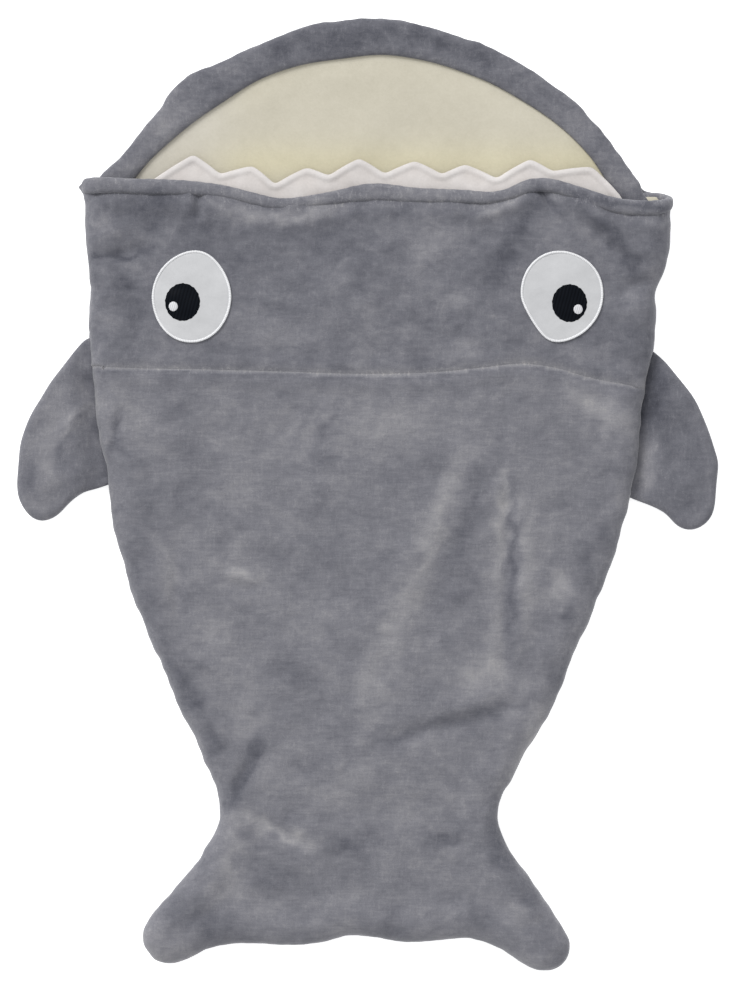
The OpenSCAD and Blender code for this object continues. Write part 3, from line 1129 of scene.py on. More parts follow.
@dataclass
class Wardrobe:
    """Every finish the bag wears, made once, and how its pile is brushed, with its painted light and shade.

    Attributes:
        plush: The belly, the tail and the back.
        face: The face.
        band: The hood's facing.
        bound: The binding.
        fin: The fins.
        fleece: The linings.
        tooth: The teeth.
        felt: The eyes' patches.
        white_thread: The stitching round the eyes.
        glint_thread: The glints.
        black_thread: The pupils.
        nap: How the bag's pile is brushed, with painted shade in its creases and painted highlights on its
            ridges.
        fin_nap: How the fins' pile is brushed, with painted shadow along their roots and painted highlight
            and shade along the left fin's ridge.
        made: The materials made so far, by name.
    """

    plush: PlushFinish = PlushFinish("grey_plush_belly", 0.498, contrast=1.15)
    face: PlushFinish = PlushFinish("grey_plush_face", 0.461, contrast=1.40, ribs=0.07)
    band: PlushFinish = PlushFinish("grey_plush_band", 0.466, patch=34.0, contrast=1.45, ribs=0.07)
    bound: PlushFinish = PlushFinish("grey_plush_binding", 0.492, patch=40.0, contrast=1.3, ribs=0.05)
    fin: PlushFinish = PlushFinish("grey_plush_fin", 0.465, patch=30.0, ribs=0.08)
    fleece: FleeceFinish = FleeceFinish("cream_fleece", (0.500, 0.468, 0.378), (0.578, 0.543, 0.448))
    tooth: FleeceFinish = FleeceFinish(
        "white_plush_teeth", (0.530, 0.496, 0.477), (0.636, 0.599, 0.578), 520.0, 0.0009, (0.05, 0.06, 0.07)
    )
    felt: FleeceFinish = FleeceFinish(
        "white_eye_felt", (0.500, 0.503, 0.513), (0.570, 0.572, 0.582), 900.0, 0.0003
    )
    white_thread: ThreadFinish = ThreadFinish(
        "white_satin_thread", (0.86, 0.86, 0.87), (0.60, 0.60, 0.62), 1250.0, True
    )
    glint_thread: ThreadFinish = ThreadFinish("white_glint_thread", (0.70, 0.70, 0.72), (0.48, 0.48, 0.50))
    black_thread: ThreadFinish = ThreadFinish(
        "black_satin_thread", (0.0040, 0.0054, 0.0085), (0.0016, 0.0022, 0.004), 1500.0, False, 0.05
    )
    nap: NapAndShading = NapAndShading()
    fin_nap: NapAndShading = NapAndShading(FIN_STREAKS_AND_SHADE)
    made: dict[str, bpy.types.Material] = field(default_factory=dict)

    def wear(self, piece: Object, finish: Finish, slot: Slot, fill: float | None, *nodes: str) -> None:
        """Puts a finish on a piece and hides the CAD nodes that it replaces.

        Args:
            piece: The piece.
            finish: What it is made of.
            slot: Its slot in the record; not used.
            fill: How firmly it is padded, or None for a sheet; not used.
            nodes: The CAD nodes that it replaces.
        """
        if finish.name not in self.made:
            self.made[finish.name] = finish.build()
        piece.data.materials.clear()
        piece.data.materials.append(self.made[finish.name])
        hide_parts(*nodes)
        LOG.info("%s: %d faces", piece.name, len(piece.data.polygons))


# ---------------------------------------------------------------- how the bag lies


@dataclass
class Layout:
    """How the laid-out bag leans and waves away from its even pattern.

    Attributes:
        nodes: The CAD nodes, by name.
        lean: Steps of (y, shift of the left side, shift of the right side).
        mouth_wave: Steps of (x, shift of the mouth's edge).
        roll_width: Steps of (x, width of the roll that binds it).
        seam_wave: Steps of (x, shift of the seam across the front).
        hem: Steps of (x, rise of the tail's end).
        step: The spacing of points along outlines.
        scallops: The small unevenness of a sewn edge.
    """

    nodes: dict[str, Object]
    lean: Table = mm(
        (-450, -12.5, -7.8), (-412, -11.5, -9.8), (-350, -9, -10), (-320, -8, -9), (-285, -4.5, -8),
        (-240, -2.8, -3), (-200, -3, 0.5), (-150, -0.5, -2), (-100, -1, -1), (-40, 1, 0.5), (12, 3, 3.8),
        (29, 3.6, 4.6), (45, 0.4, 5), (66, -0.3, 4.6), (90, -0.4, 4.5), (111, -0.2, 4.5), (132, 0.8, 8.2),
        (155, 1, 8.4), (174, 3, 7.6), (190, 5.8, 5.2), (212, 7, 11.8), (236, 6.2, 16.4), (260, 7, 12.4),
        (279, 8.2, 10.6), (283.5, 8, 7.6), (289.5, 3, 4.6), (296, -1.2, 3.6), (304.5, -1.8, 3),
        (311, 0.4, 3), (316.5, 3.2, 2.8), (321.5, 5, 2.6), (340, 7, 2), (365, 5.2, 1.6), (385, -1.6, -1.2),
        (396, -2, -3.4), (410, 8, -2.4), (425, 12, -4), (440, 9.5, -8), (450, 4, 2),
    )
    mouth_wave: Table = mm(
        (-280, 10.5), (-240, 10.7), (-205, 9), (-165, 7.4), (-130, 2.6), (-107, -3.5), (-88, -8.2),
        (-60, -6.8), (-30, -1.3), (3, 5), (50, 0.6), (90, -1), (120, -2.6), (135, 1), (150, 8), (166, 10),
        (195, 3.4), (230, -7.6), (262, -11.2), (292, -10),
    )
    roll_width: Table = mm(
        (-280, 15), (-200, 14), (-147, 12.8), (-107, 11.4), (-60, 11.2), (-27, 13.6), (0, 16.2), (26, 15.6),
        (52, 13.2), (92, 12.1), (125, 10.6), (150, 12), (200, 12.6), (224, 14), (290, 12.8),
    )
    seam_wave: Table = mm(
        (-270, 5.5), (-200, 3), (-148, 2), (-80, 0), (10, -2), (70, 0), (110, 4), (148, 7.5), (180, 3),
        (204, -4), (260, -15),
    )
    hem: Table = mm(
        (-210, 6), (-180, 5), (-157, 2.6), (-140, 4), (-119, 3), (-74, -3), (-44, -3.8), (-21, -2.2),
        (-9, -0.4), (12, 0), (48, -2), (73, 0.6), (95, 4), (114, 5.8), (139, 1.8), (163, -2.6), (185, -3),
    )
    step: float = 0.003
    scallops: tuple[Ripple, ...] = (Ripple(0.00030, 0.015, 101), Ripple(0.00065, 0.050, 103))

    def __post_init__(self) -> None:
        """Reads the pattern's outlines and levels off the frame."""
        body = flat_outline(self.nodes["back_outer"])
        tail = flat_outline(self.nodes["tail_top"])
        hood = flat_outline(self.nodes["hood_outer"])
        self.waist_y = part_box("waist_seam")[0].y
        self.cross_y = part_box("belly_outer")[1].y
        self.mouth_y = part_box("mouth_binding")[1].y
        self.mouth_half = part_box("head_outer")[1].x
        self.hood_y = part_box("hood_outer")[0].y
        self.tail_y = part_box("tail_top")[0].y
        flank = body[(body[:, 0] > 0) & (body[:, 1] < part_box("side_seam_left")[1].y + 1e-4)]
        flank = flank[np.argsort(flank[:, 1])]
        shoulder = flank[:, 1] > self.mouth_y - 0.03
        flank = flank[(flank[:, 0] > 0.12) & ~(shoulder & (flank[:, 0] < self.mouth_half - 0.01))]
        low = flank[flank[:, 1] > self.waist_y + 1e-4]
        self.flank = np.vstack([[flank[0, 0], self.waist_y], low, [self.mouth_half, self.mouth_y]])
        start = int(np.argmin(np.hypot(tail[:, 0] + flank[0, 0], tail[:, 1] - self.waist_y)))
        self.fluke = np.roll(tail, -start, axis=0)
        arc = hood[hood[:, 1] > self.hood_y - 1e-4]
        start = int(np.argmax(arc[:, 0] - 4 * (arc[:, 1] - self.hood_y)))
        self.arch = np.roll(arc, -start, axis=0)
        neck = body[(body[:, 0] > 0) & (body[:, 1] > self.mouth_y - 1e-4)]
        self.neck_half = float(neck[:, 0].max())

    def flanks(self, y: Array, inset: float = 0.0) -> tuple[Array, Array]:
        """Gives the even pattern's right and left flanks at these heights, moved in from the seam."""
        half = np.interp(y, self.flank[:, 1], self.flank[:, 0]) - inset
        return np.column_stack([half, y]), np.column_stack([-half, y])

    def half(self, y: Array) -> Array:
        """Gives the pattern's half width at a height.

        Args:
            y: The heights along the bag.

        Returns:
            The half width at each.
        """
        body = np.interp(y, self.flank[:, 1], self.flank[:, 0])
        right = self.arch[self.arch[:, 0] > 0]
        right = right[np.argsort(right[:, 1])]
        hood = np.interp(y, right[:, 1], right[:, 0])
        lower = self.fluke[(self.fluke[:, 0] > 0.11)]
        lower = lower[np.argsort(lower[:, 1])]
        keep = lower[lower[:, 1] > self.tail_y + 0.03]
        tail = np.interp(y, keep[:, 1], keep[:, 0])
        return np.where(y > self.hood_y, hood, np.where(y < self.waist_y, tail, body))

    def place(self, xy: Array) -> Array:
        """Moves points of the even pattern to where the laid-out bag has them.

        Args:
            xy: The places, as x and y.

        Returns:
            The moved points.
        """
        left, right = (hermite(xy[:, 1], self.lean, column) for column in (1, 2))
        share = np.clip(xy[:, 0] / np.maximum(self.half(xy[:, 1]), 0.03), -1, 1) * 0.5 + 0.5
        out = xy.copy()
        out[:, 0] += left + (right - left) * share
        out[:, 1] += hermite(xy[:, 0], self.hem) * smoothstep(-xy[:, 1], 0.350, 0.425)
        return out

    def scallop(self, path: Array) -> Array:
        """Gives an outline the small scallops of a sewn and stuffed edge."""
        wave = sum(part.lift(path) for part in self.scallops)
        return path + inward(path) * wave[:, None]

    def mouth(self, x: Array) -> Array:
        """Gives the height of the mouth's edge along x."""
        return self.mouth_y + hermite(x, self.mouth_wave)

    def roll(self, x: Array) -> Array:
        """Gives the width of the mouth's binding along x."""
        return hermite(x, self.roll_width)

    def cross(self, x: Array) -> Array:
        """Gives the height of the front's cross seam along x."""
        return self.cross_y + hermite(x, self.seam_wave)

    def side(self, right: bool, low: float, high: float) -> Array:
        """Gives one flank of the laid-out bag, from low to high."""
        y = np.linspace(low, high, max(4, int((high - low) / self.step)))
        return self.scallop(self.place(soften(self.flanks(y)[0 if right else 1], 6)))

    def skirt(self, left_top: float, right_top: float) -> Array:
        """Gives the outline from the left flank, round the tail, to the right flank.

        Args:
            left_top: Where the left flank starts.
            right_top: Where the right flank ends.

        Returns:
            The outline's points.
        """
        left = self.flanks(np.linspace(left_top, self.waist_y, 140))[1]
        right = self.flanks(np.linspace(self.waist_y, right_top, 140))[0]
        fluke = self.fluke[self.fluke[:, 1] < self.waist_y - 0.002]
        path = resample(np.vstack([left, fluke, right]), self.step)
        return self.scallop(self.place(soften(path, 16)))

    def around_hood(self, low: float, corners: bool = True) -> Array:
        """Gives the outline round the hood.

        Args:
            low: The height that it starts and ends at.
            corners: Whether it takes in the mouth's corners, or runs straight down from the neck.

        Returns:
            The points, from the right side over the crown to the left.
        """
        if corners:
            right = self.flanks(np.linspace(low, self.mouth_y - 0.0045, 60))[0]
        else:
            right = np.array([[self.neck_half, low], [self.neck_half, self.mouth_y - 0.002]])
        arch = self.arch[self.arch[:, 1] > self.hood_y + 0.002]
        neck = np.array([[self.neck_half, self.mouth_y + 0.0015], [self.neck_half, self.mouth_y + 0.006]])
        mirror = np.array([-1.0, 1.0])
        path = np.vstack([right, neck, arch, (neck * mirror)[::-1], (right * mirror)[::-1]])
        path = soften(resample(path, self.step), 3)
        return self.scallop(self.place(path))


@dataclass
class Padding:
    """The height of the stuffed front, with its folds.

    Attributes:
        layout: How the bag lies.
        rise: Steps of (distance from the side seam, height).
        rim: How its edge rolls to the side seam.
        folds: The ridges and creases.
        ripples: The small unevenness.
        bold: How boldly the folds show.
        groove: How deep the seam across the front is drawn in.
        puckers: The small gathers along the side seams.
        gathers: The small gathers under the binding.
    """

    layout: Layout
    rise: Table = mm(
        (11.5, 28.3), (17, 30), (25, 30.6), (38, 30.3), (60, 31.4), (110, 33.4), (180, 35), (300, 35.5),
    )
    rim: Table = (
        (0.0020, 0.0094, 0.0), (0.0011, 0.0100, 0.0), (0.0004, 0.0112, 0.0), (0.0, 0.0130, 0.05),
        (0.0001, 0.0152, 0.1), (0.0005, 0.0176, 0.2), (0.0014, 0.0200, 0.3), (0.0028, 0.0223, 0.45),
        (0.0048, 0.0246, 0.6), (0.0078, 0.0268, 0.8), (0.0115, 0.0283, 1.0),
    )
    folds: tuple[Fold, ...] = folds(MM, (
        (-3, 3.5, 1, 0, -159, 286, -158, 272, -157, 257), (1.2, 6, 0.8, 0, -168, 284, -166, 262),
        (-3.4, 4, 1, 0, 161, 290, 168, 278, 180, 264), (1.7, 5.5, 0.6, 0, 155, 279, 128, 268, 92, 257),
        (2.6, 8, 0.5, 0.4, 196, 283, 222, 255, 248, 227, 277, 229),
        (-2.2, 7, 0.3, 0, 190, 270, 214, 244, 240, 216), (1.6, 9, 0, 0, -110, 272, -70, 274, -30, 266),
        (-2.2, 6, 0.8, 0, -257, 224, -219, 226, -196, 240),
        (1.6, 10, 0.6, 0, -262, 238, -236, 246, -205, 262),
        (-1.4, 7, 0.4, 0.4, -262, 195, -248, 170, -252, 140), (-2.4, 8, 1, 0, 272, 202, 255, 196, 236, 190),
        (1.5, 10, 0.7, 0, 272, 176, 250, 172, 222, 176), (2, 6, 0, 0, 122, 16, 124, -12),
        (-2.1, 7.5, 0.3, 0, 133, 14, 134, -60, 131, -130, 128, -186),
        (1.4, 11, 0, 0, 144, 0, 146, -80, 140, -160), (2.5, 20, 0, 0, 77, 14, 41, -68, 24, -134),
        (-1.4, 14, 0, 0, 100, -10, 66, -80, 50, -150), (1.8, 5.5, 0, 0, -134, -72, -115, -78, -99, -82),
        (-1.4, 6, 0, 0, -138, -80, -116, -88, -98, -91),
        (-2.2, 9, 0, 0, 154, -195, 90, -214, 40, -226, -5, -237),
        (1.8, 13, 0, 0, 160, -182, 90, -199, 20, -214), (-1.8, 7, 0, 0, -177, -36, -179, -80, -174, -133),
        (1.4, 10, 0, 0, -200, -40, -196, -90, -186, -130),
        (-2.2, 6, 0, 0.6, -106, -247, -118, -268, -127, -287),
        (-1.8, 6, 0, 0, -109, -302, -76, -322, -45, -336), (1.3, 8, 0, 0, -104, -292, -70, -310, -40, -324),
        (-2.2, 20, 0, 0, -120, -300, -60, -300, 10, -297, 110, -301),
        (1.6, 14, 0, 0, -130, -330, -150, -370, -160, -400),
        (1.8, 14, 0, 0, 120, -330, 138, -366, 150, -404), (-1.2, 7, 0, 0, 60, -322, 78, -326, 92, -330),
        (-1.6, 9, 0, 0, -230, 60, -236, 0, -222, -60), (-1.3, 9, 0, 0, 232, 60, 226, 0, 214, -60),
        (-1, 12, 0, 0, -60, 90, -74, 70, -84, 40),
        (-2.2, 3.6, 0.6, 0, -231.5, 78, -234.5, 60, -240, 42, -244, 30),
        (1.2, 14, 0, 0, -248, 92, -200, 60, -150, 50),
    ))
    ripples: tuple[Ripple, ...] = (
        Ripple(0.0008, 0.110, 11), Ripple(0.00045, 0.046, 23), Ripple(0.00022, 0.019, 37),
    )
    bold: float = 1.35
    groove: float = 0.0013
    puckers: tuple[Ripple, ...] = (Ripple(0.0004, 0.014, 131), Ripple(0.0008, 0.034, 137))
    gathers: tuple[Ripple, ...] = (Ripple(0.0004, 0.011, 139), Ripple(0.0008, 0.034, 149))

    def __post_init__(self) -> None:
        """Keeps the side outline that the height falls away from."""
        lay = self.layout
        self.edge = lay.skirt(lay.mouth_y + 0.03, lay.mouth_y + 0.03)
        self.girth = float(np.linalg.norm(np.diff(self.edge, axis=0), axis=1).sum())

    def relief(self, xy: Array) -> Array:
        """Gives the folds' and ripples' rise at each place.

        Args:
            xy: The places, as x and y.

        Returns:
            The rise at each place.
        """
        total = sum(part.lift(xy) for part in self.ripples)
        for part in self.folds:
            total = total + self.bold * part.lift(xy)
        return total

    def height(self, xy: Array) -> Array:
        """Gives the front's height at each place.

        Args:
            xy: The places, as x and y.

        Returns:
            The height at each place.
        """
        lay = self.layout
        gap, along = distance(xy, self.edge)
        z = hermite(gap, self.rise)
        level = 0.0320
        near_mouth = smoothstep(xy[:, 1], lay.mouth_y - 0.11, lay.mouth_y - 0.02)
        z = np.where(z > level, z + (level - z) * near_mouth, z)
        low_tail = smoothstep(-xy[:, 1], -lay.waist_y - 0.03, -lay.waist_y + 0.06)
        z = z - 0.0028 * low_tail * smoothstep(gap, 0.012, 0.05)
        z = z + self.relief(xy) * smoothstep(gap, 0.0, 0.0115)
        line = np.column_stack([along * self.girth, np.zeros(len(xy))])
        near = smoothstep(gap, 0.001, 0.008) * np.exp(-np.maximum(gap - 0.008, 0) / 0.013)
        z = z + near * sum(part.lift(line) for part in self.puckers)
        seam = xy[:, 1] - lay.cross(xy[:, 0])
        z = z - self.groove * bell(seam, 0.0024) + 0.0010 * bell(np.abs(seam) - 0.009, 0.006)
        lip = lay.mouth(xy[:, 0]) - lay.roll(xy[:, 0]) + 0.0008 - xy[:, 1]
        across = np.column_stack([xy[:, 0], np.zeros(len(xy))])
        drawn = smoothstep(lip, 0.001, 0.006) * np.exp(-np.maximum(lip, 0) / 0.016)
        z = z + drawn * sum(part.lift(across) for part in self.gathers)
        return z - 0.0013 * bell(lip, 0.0026) + 0.0014 * bell(lip - 0.012, 0.007)


# ---------------------------------------------------------------- sub-assemblies


@dataclass
class Part:
    """A sub-assembly of the bag.

    Attributes:
        layout: How the bag lies.
        padding: The front's height.
        wardrobe: The finishes.
    """

    layout: Layout
    padding: Padding
    wardrobe: Wardrobe

    def fold_with_hood(self, piece: Object) -> None:
        """Bakes the piece's placement into its points; it does not bend with the hood."""
        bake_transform(piece)


@dataclass
class PlushShell(Part):
    """The grey skins of the front and the back.

    Attributes:
        thick: The plush's thickness.
        spacing: The distance between the mesh's points.
        tuck: How far a seam's edge runs on under its neighbour.
        under_rim: How the back's edge rolls under.
        under: The back's slack.
    """

    thick: float = 0.0024
    spacing: float = 0.0037
    tuck: float = 0.005
    under_rim: Table = (
        (0.0020, 0.0088, 0.0), (0.0009, 0.0078, 0.0), (0.0002, 0.0062, 0.0), (0.0003, 0.0044, 0.0),
        (0.0014, 0.0026, 0.0), (0.0036, 0.0012, 0.0), (0.0070, 0.0004, 0.0), (0.0120, 0.0, 0.0),
    )
    under: Ripple = Ripple(0.0005, 0.08, 5)

    def back_height(self, xy: Array) -> Array:
        """Gives the back skin's height: it lies on the floor, with a little slack here and there."""
        return np.maximum(self.under.lift(xy) - 0.0004, 0.0)

    def highlight_flecks(self, xy: Array) -> Array:
        """Gives how strongly painted highlight flecks show: along the seam and the binding.

        Args:
            xy: The places, as x and y.

        Returns:
            The strength at each place.
        """
        lay = self.layout
        seam = xy[:, 1] - lay.cross(xy[:, 0]) - 0.0010
        lip = lay.mouth(xy[:, 0]) - lay.roll(xy[:, 0]) - xy[:, 1]
        return 0.06 + 0.26 * bell(seam, 0.0026) + 0.4 * bell(lip, 0.004)

    def seam_shading(self, xy: Array) -> Array:
        """Gives painted light and shade at the cross seam: a painted highlight on the face's edge and painted
        shade below it.

        Args:
            xy: The places, as x and y.

        Returns:
            The step of tone at each place.
        """
        gap = xy[:, 1] - self.layout.cross(xy[:, 0])
        above = 0.17 * bell(gap - 0.0008, 0.0032) + 0.06 * bell(gap, 0.009)
        below = -0.06 * bell(gap, 0.016) - 0.05 * bell(gap + 0.0035, 0.0020)
        return np.where(gap > -0.0008, above, below)

    def build_front(self) -> list[Object]:
        """Makes the belly, which runs on over the tail, and the face.

        Returns:
            The belly and the face.
        """
        lay, pad = self.layout, self.padding
        x = np.linspace(-0.3, 0.3, 601)
        left, right = (float(np.interp(k * FLANK_X, x, lay.cross(x))) for k in (-1, 1))
        skirt = lay.skirt(left + self.tuck * 0.8, right + self.tuck * 0.4)
        sides = self._closed(skirt, pad.rim, lambda at: lay.cross(at) + self.tuck * 0.2, 140)
        belly = Skin("belly_skin", sides, pad.height, pad.relief, self.spacing).build()
        ends = np.array([-lay.mouth_half, lay.mouth_half])
        top_l, top_r = (float(v) for v in lay.mouth(ends) - 0.55 * lay.roll(ends))
        flank_r = Side(lay.side(True, right, top_r), pad.rim)
        flank_l = Side(lay.side(False, left + 0.0020, top_l)[::-1], pad.rim)
        top_x = np.linspace(flank_r.inner()[-1][0], flank_l.inner()[0][0], 150)
        top = Side(np.column_stack([top_x, lay.mouth(top_x) - 0.0075]))
        low_x = np.linspace(flank_l.inner()[-1][0], flank_r.inner()[0][0], 140)
        low = Side(np.column_stack([low_x, lay.cross(low_x) - self.tuck]))

        def tucked(xy: Array) -> Array:
            """Gives the face's height, sunk where it runs under the belly."""
            below = lay.cross(xy[:, 0]) - xy[:, 1]
            return pad.height(xy) - 0.0030 * smoothstep(below, -0.0005, 0.004)

        sides = [flank_r, top, flank_l, low]
        return [belly, Skin("head_skin", sides, tucked, pad.relief, self.spacing * 0.85).build()]

    def _closed(self, path: Array, rim: Table, seam: Height, count: int) -> list[Side]:
        """Closes a rolled edge with a plain seam across from its end to its start.

        Args:
            path: The outline.
            rim: How its edge rolls.
            seam: Gives the seam's y at each x.
            count: How many points the seam has.

        Returns:
            The skin's two sides.
        """
        side = Side(path, rim)
        ends = side.inner()
        x = np.linspace(ends[-1][0], ends[0][0], count)
        return [side, Side(np.column_stack([x, seam(x)]))]

    def build_back(self) -> list[Object]:
        """Makes the back in two skins, with a seam across at the height of the front's.

        Returns:
            The lower and the upper skin.
        """
        lay = self.layout
        seam_y = lay.cross_y
        made = []
        for name, path in (("lower", lay.skirt(seam_y, seam_y)), ("upper", lay.around_hood(seam_y))):
            sides = self._closed(path, self.under_rim, lambda at: np.full(len(at), seam_y), 120)
            skin = Skin(f"back_skin_{name}", sides, self.back_height, still, self.spacing * 1.25, Facing.DOWN)
            made.append(skin.build())
        return made

    def dress(self, front: list[Object], back: list[Object]) -> None:
        """Thickens the skins, and gives them their finishes.

        Args:
            front: The belly and the face.
            back: The lower and the upper skin.
        """
        lay, put = self.layout, self.wardrobe
        belly, head = front
        lower, upper = back
        for piece in (*front, *back):
            apply_modifier(piece, "SOLIDIFY", thickness=self.thick, offset=-1.0, use_even_offset=False)
            for vertex in piece.data.vertices:
                vertex.co.z = max(vertex.co.z, 0.0)
            # Painted highlight flecks along the seam and the binding, and on the front skins painted light
            # and shade at the cross seam.
            put.nap.brush(piece, self.highlight_flecks, self.seam_shading if piece in front else None)
        for piece in (belly, lower):
            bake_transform(piece)
        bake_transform(head)
        self.fold_with_hood(upper)
        for piece, finish, nodes in (
            (belly, put.plush, ("belly_outer", "belly_wadding", "tail_top", "tail_filling", "waist_seam")),
            (head, put.face, ("head_outer", "head_wadding")),
            (lower, put.plush, ("tail_under", "side_seam_left", "side_seam_right")),
            (upper, put.plush, (
                "back_outer", "back_wadding", "hood_outer", "hood_wadding", "hood_edge_seam",
            )),
        ):
            put.wear(piece, finish, Slot.PLUSH, 0.35, *nodes)


@dataclass
class HoodLining(Part):
    """The hood's grey facing and the cream fleece inside the bag.

    Attributes:
        level: The back lining's height.
        front_level: The front linings' height.
        front_inset: How far in from the side seams the front linings end.
        fleece_thick: The fleece's thickness.
        outer_rim: How the facing's outer edge rolls over.
        inner_rim: How its inner edge rolls over.
        arc: Steps of (y, left x, right x) of the facing's inner edge.
        top: Where that edge is highest.
        widen: How much further out it lies above its feet.
        unevenness: The facing's own.
        slack: The linings' own.
    """

    level: float = 0.0098
    front_level: float = 0.0212
    front_inset: float = 0.0150
    fleece_thick: float = 0.0018
    outer_rim: Table = (
        (0.0020, 0.0093, 0.0), (0.0009, 0.0099, 0.0), (0.0002, 0.0110, 0.0), (0.0001, 0.0122, 0.0),
        (0.0009, 0.0135, 0.3), (0.0026, 0.0146, 0.6), (0.0052, 0.0153, 0.8), (0.0085, 0.0156, 1.0),
    )
    inner_rim: Table = (
        (0.0010, 0.0096, 0.0), (0.0002, 0.0104, 0.0), (0.0, 0.0114, 0.2), (0.0006, 0.0126, 0.4),
        (0.0018, 0.0136, 0.6), (0.0038, 0.0143, 0.8), (0.0062, 0.0147, 1.0),
    )
    arc: Table = mm(
        (268, -239, 250), (283, -231, 235), (296, -219, 224.5), (309, -205, 212.5), (320.5, -191.5, 202.5),
        (337.5, -173.5, 186), (354.5, -152.5, 165.5), (369.5, -127.5, 143), (386.5, -100.5, 113),
        (403, -56, 64),
    )
    top: tuple[float, float] = (0.0140, 0.4110)
    widen: float = 0.0056
    unevenness: Ripple = Ripple(0.0005, 0.05, 71)
    slack: Ripple = Ripple(0.0006, 0.07, 83)

    def inner_path(self, inset: float = 0.0) -> Array:
        """Gives the facing's inner edge, from its right foot over the crown to its left foot.

        Args:
            inset: How much further in it lies.

        Returns:
            The edge's points.
        """
        rows = np.array(self.arc)
        path = np.vstack([rows[:, [2, 0]], [self.top], rows[::-1, :2][:, ::-1]])
        path = soften(resample(path, self.layout.step), 40)
        wave = Ripple(0.0009, 0.10, 9)
        widen = self.widen * smoothstep(path[:, 1], 0.280, 0.318)
        return path + inward(path) * (inset - widen + wave.lift(path))[:, None]

    def relief(self, xy: Array) -> Array:
        """Gives the facing's unevenness."""
        return self.unevenness.lift(xy)

    def build(self) -> list[Object]:
        """Makes the facing, the back lining and the front linings.

        Returns:
            The four sheets, in that order.
        """
        lay = self.layout
        outer = lay.around_hood(lay.mouth_y - 0.018, corners=False)
        inner = self.inner_path()

        def band_height(xy: Array) -> Array:
            """Gives the facing's height, fullest along its middle."""
            a, _ = distance(xy, outer)
            b, _ = distance(xy, inner)
            share = a / np.maximum(a + b, 1e-6)
            full = np.interp(share, [0, 0.22, 0.8, 1.0], [0.0150, 0.0158, 0.0150, 0.0138])
            return full + self.relief(xy)

        right, left = Side(outer, self.outer_rim), Side(inner[::-1], self.inner_rim)
        foot_l = np.linspace(right.inner()[-1], left.inner()[0], 9)
        foot_r = np.linspace(left.inner()[-1], right.inner()[0], 9)
        sides = [right, Side(foot_l), left, Side(foot_r)]
        return [
            Skin("hood_facing_band", sides, band_height, self.relief, 0.0032).build(),
            self._back_lining(),
            self._front_lining("belly_lining_sheet", lay.waist_y + 0.012, lay.cross_y - 0.001),
            self._front_lining("head_lining_sheet", lay.cross_y + 0.001, lay.mouth_y - 0.006),
        ]

    def _loop(self, y: Array, inset: float, top: Array, step: float) -> list[Side]:
        """Gives a lining's plain boundary: both flanks, and what joins them at the top."""
        right, left = (self.layout.place(flank) for flank in self.layout.flanks(y, inset))
        return [Side(resample(np.vstack([right, top, left[::-1]]), step, closed=True), (), True)]

    def _back_lining(self) -> Object:
        """Makes the cream sheet inside the back, up to its seam in the hood.

        Returns:
            The sheet.
        """
        lay = self.layout
        seam = self.inner_path()
        top = self.inner_path(-0.006)
        top = top[top[:, 1] > lay.mouth_y - 0.008]
        sides = self._loop(np.linspace(lay.waist_y + 0.010, lay.mouth_y - 0.0055, 130), 0.0085, top, 0.005)

        def lining_height(xy: Array) -> Array:
            """Gives the lining's height, sunk a little at its seam in the hood."""
            gap, _ = distance(xy, seam)
            rise = self.slack.lift(xy) * smoothstep(gap, 0.0, 0.03)
            return self.level + 0.0016 * smoothstep(gap, 0.0, 0.022) + rise

        return Skin("back_lining_sheet", sides, lining_height, self.relief, 0.0046).build()

    def _front_lining(self, name: str, low: float, high: float) -> Object:
        """Makes one of the two cream sheets inside the front.

        Args:
            name: Its name.
            low: Where it starts.
            high: Where it ends.

        Returns:
            The sheet.
        """
        sides = self._loop(np.linspace(low, high, 40), self.front_inset, np.empty((0, 2)), 0.006)
        loop = sides[0].path
        loop[:, 1] = np.minimum(loop[:, 1], self.layout.mouth(loop[:, 0]) - 0.0095)

        def level(xy: Array) -> Array:
            """Gives the lining's height."""
            return self.front_level + 0.4 * self.slack.lift(xy)

        return Skin(name, sides, level, self.relief, 0.008, Facing.DOWN).build()

    def dress(self, pieces: list[Object]) -> None:
        """Thickens the sheets, puts the front linings on their bodies, and gives the sheets their finishes.

        Args:
            pieces: The four sheets, as they were built.
        """
        lay, put = self.layout, self.wardrobe
        facing, back, belly, head = pieces
        apply_modifier(facing, "SOLIDIFY", thickness=0.0024, offset=-1.0)
        # The facing takes the brushed patches with their painted shade and highlights, and a few painted
        # highlight flecks.
        put.nap.brush(facing)
        for piece in (back, belly, head):
            apply_modifier(piece, "SOLIDIFY", thickness=self.fleece_thick, offset=-1.0)
        co = np.array([v.co for v in back.data.vertices], float)
        # Painted bounce light: a lighter, yellower band of the lining next to the teeth; the lining is also
        # made darker towards the left.
        painted_bounce_light = bell(co[:, 1] - lay.mouth_y - 0.026, 0.020) * smoothstep(co[:, 0], -0.20, -0.10)
        put.nap.write(back, NAP_AND_SHADING, painted_bounce_light - 0.45 * smoothstep(-co[:, 0], 0.10, 0.17))
        for piece in (facing, back):
            self.fold_with_hood(piece)
        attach(belly, Body.BAG.value)
        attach(head, Body.HEAD.value)
        put.wear(facing, put.band, Slot.PLUSH, 0.4, "hood_facing")
        self._declare(back, ["back_skin_upper", "back_skin_lower"], "back_lining", "hood_lining")
        self._declare(belly, ["belly_skin"], "belly_lining")
        self._declare(head, ["head_skin"], "head_lining")

    def _declare(self, piece: Object, on: list[str], *nodes: str) -> None:
        """Gives a lining the fleece finish.

        Args:
            piece: The lining.
            on: The skins that it rests on; not used.
            nodes: The CAD nodes that it replaces.
        """
        self.wardrobe.wear(piece, self.wardrobe.fleece, Slot.FLEECE, None, *nodes)


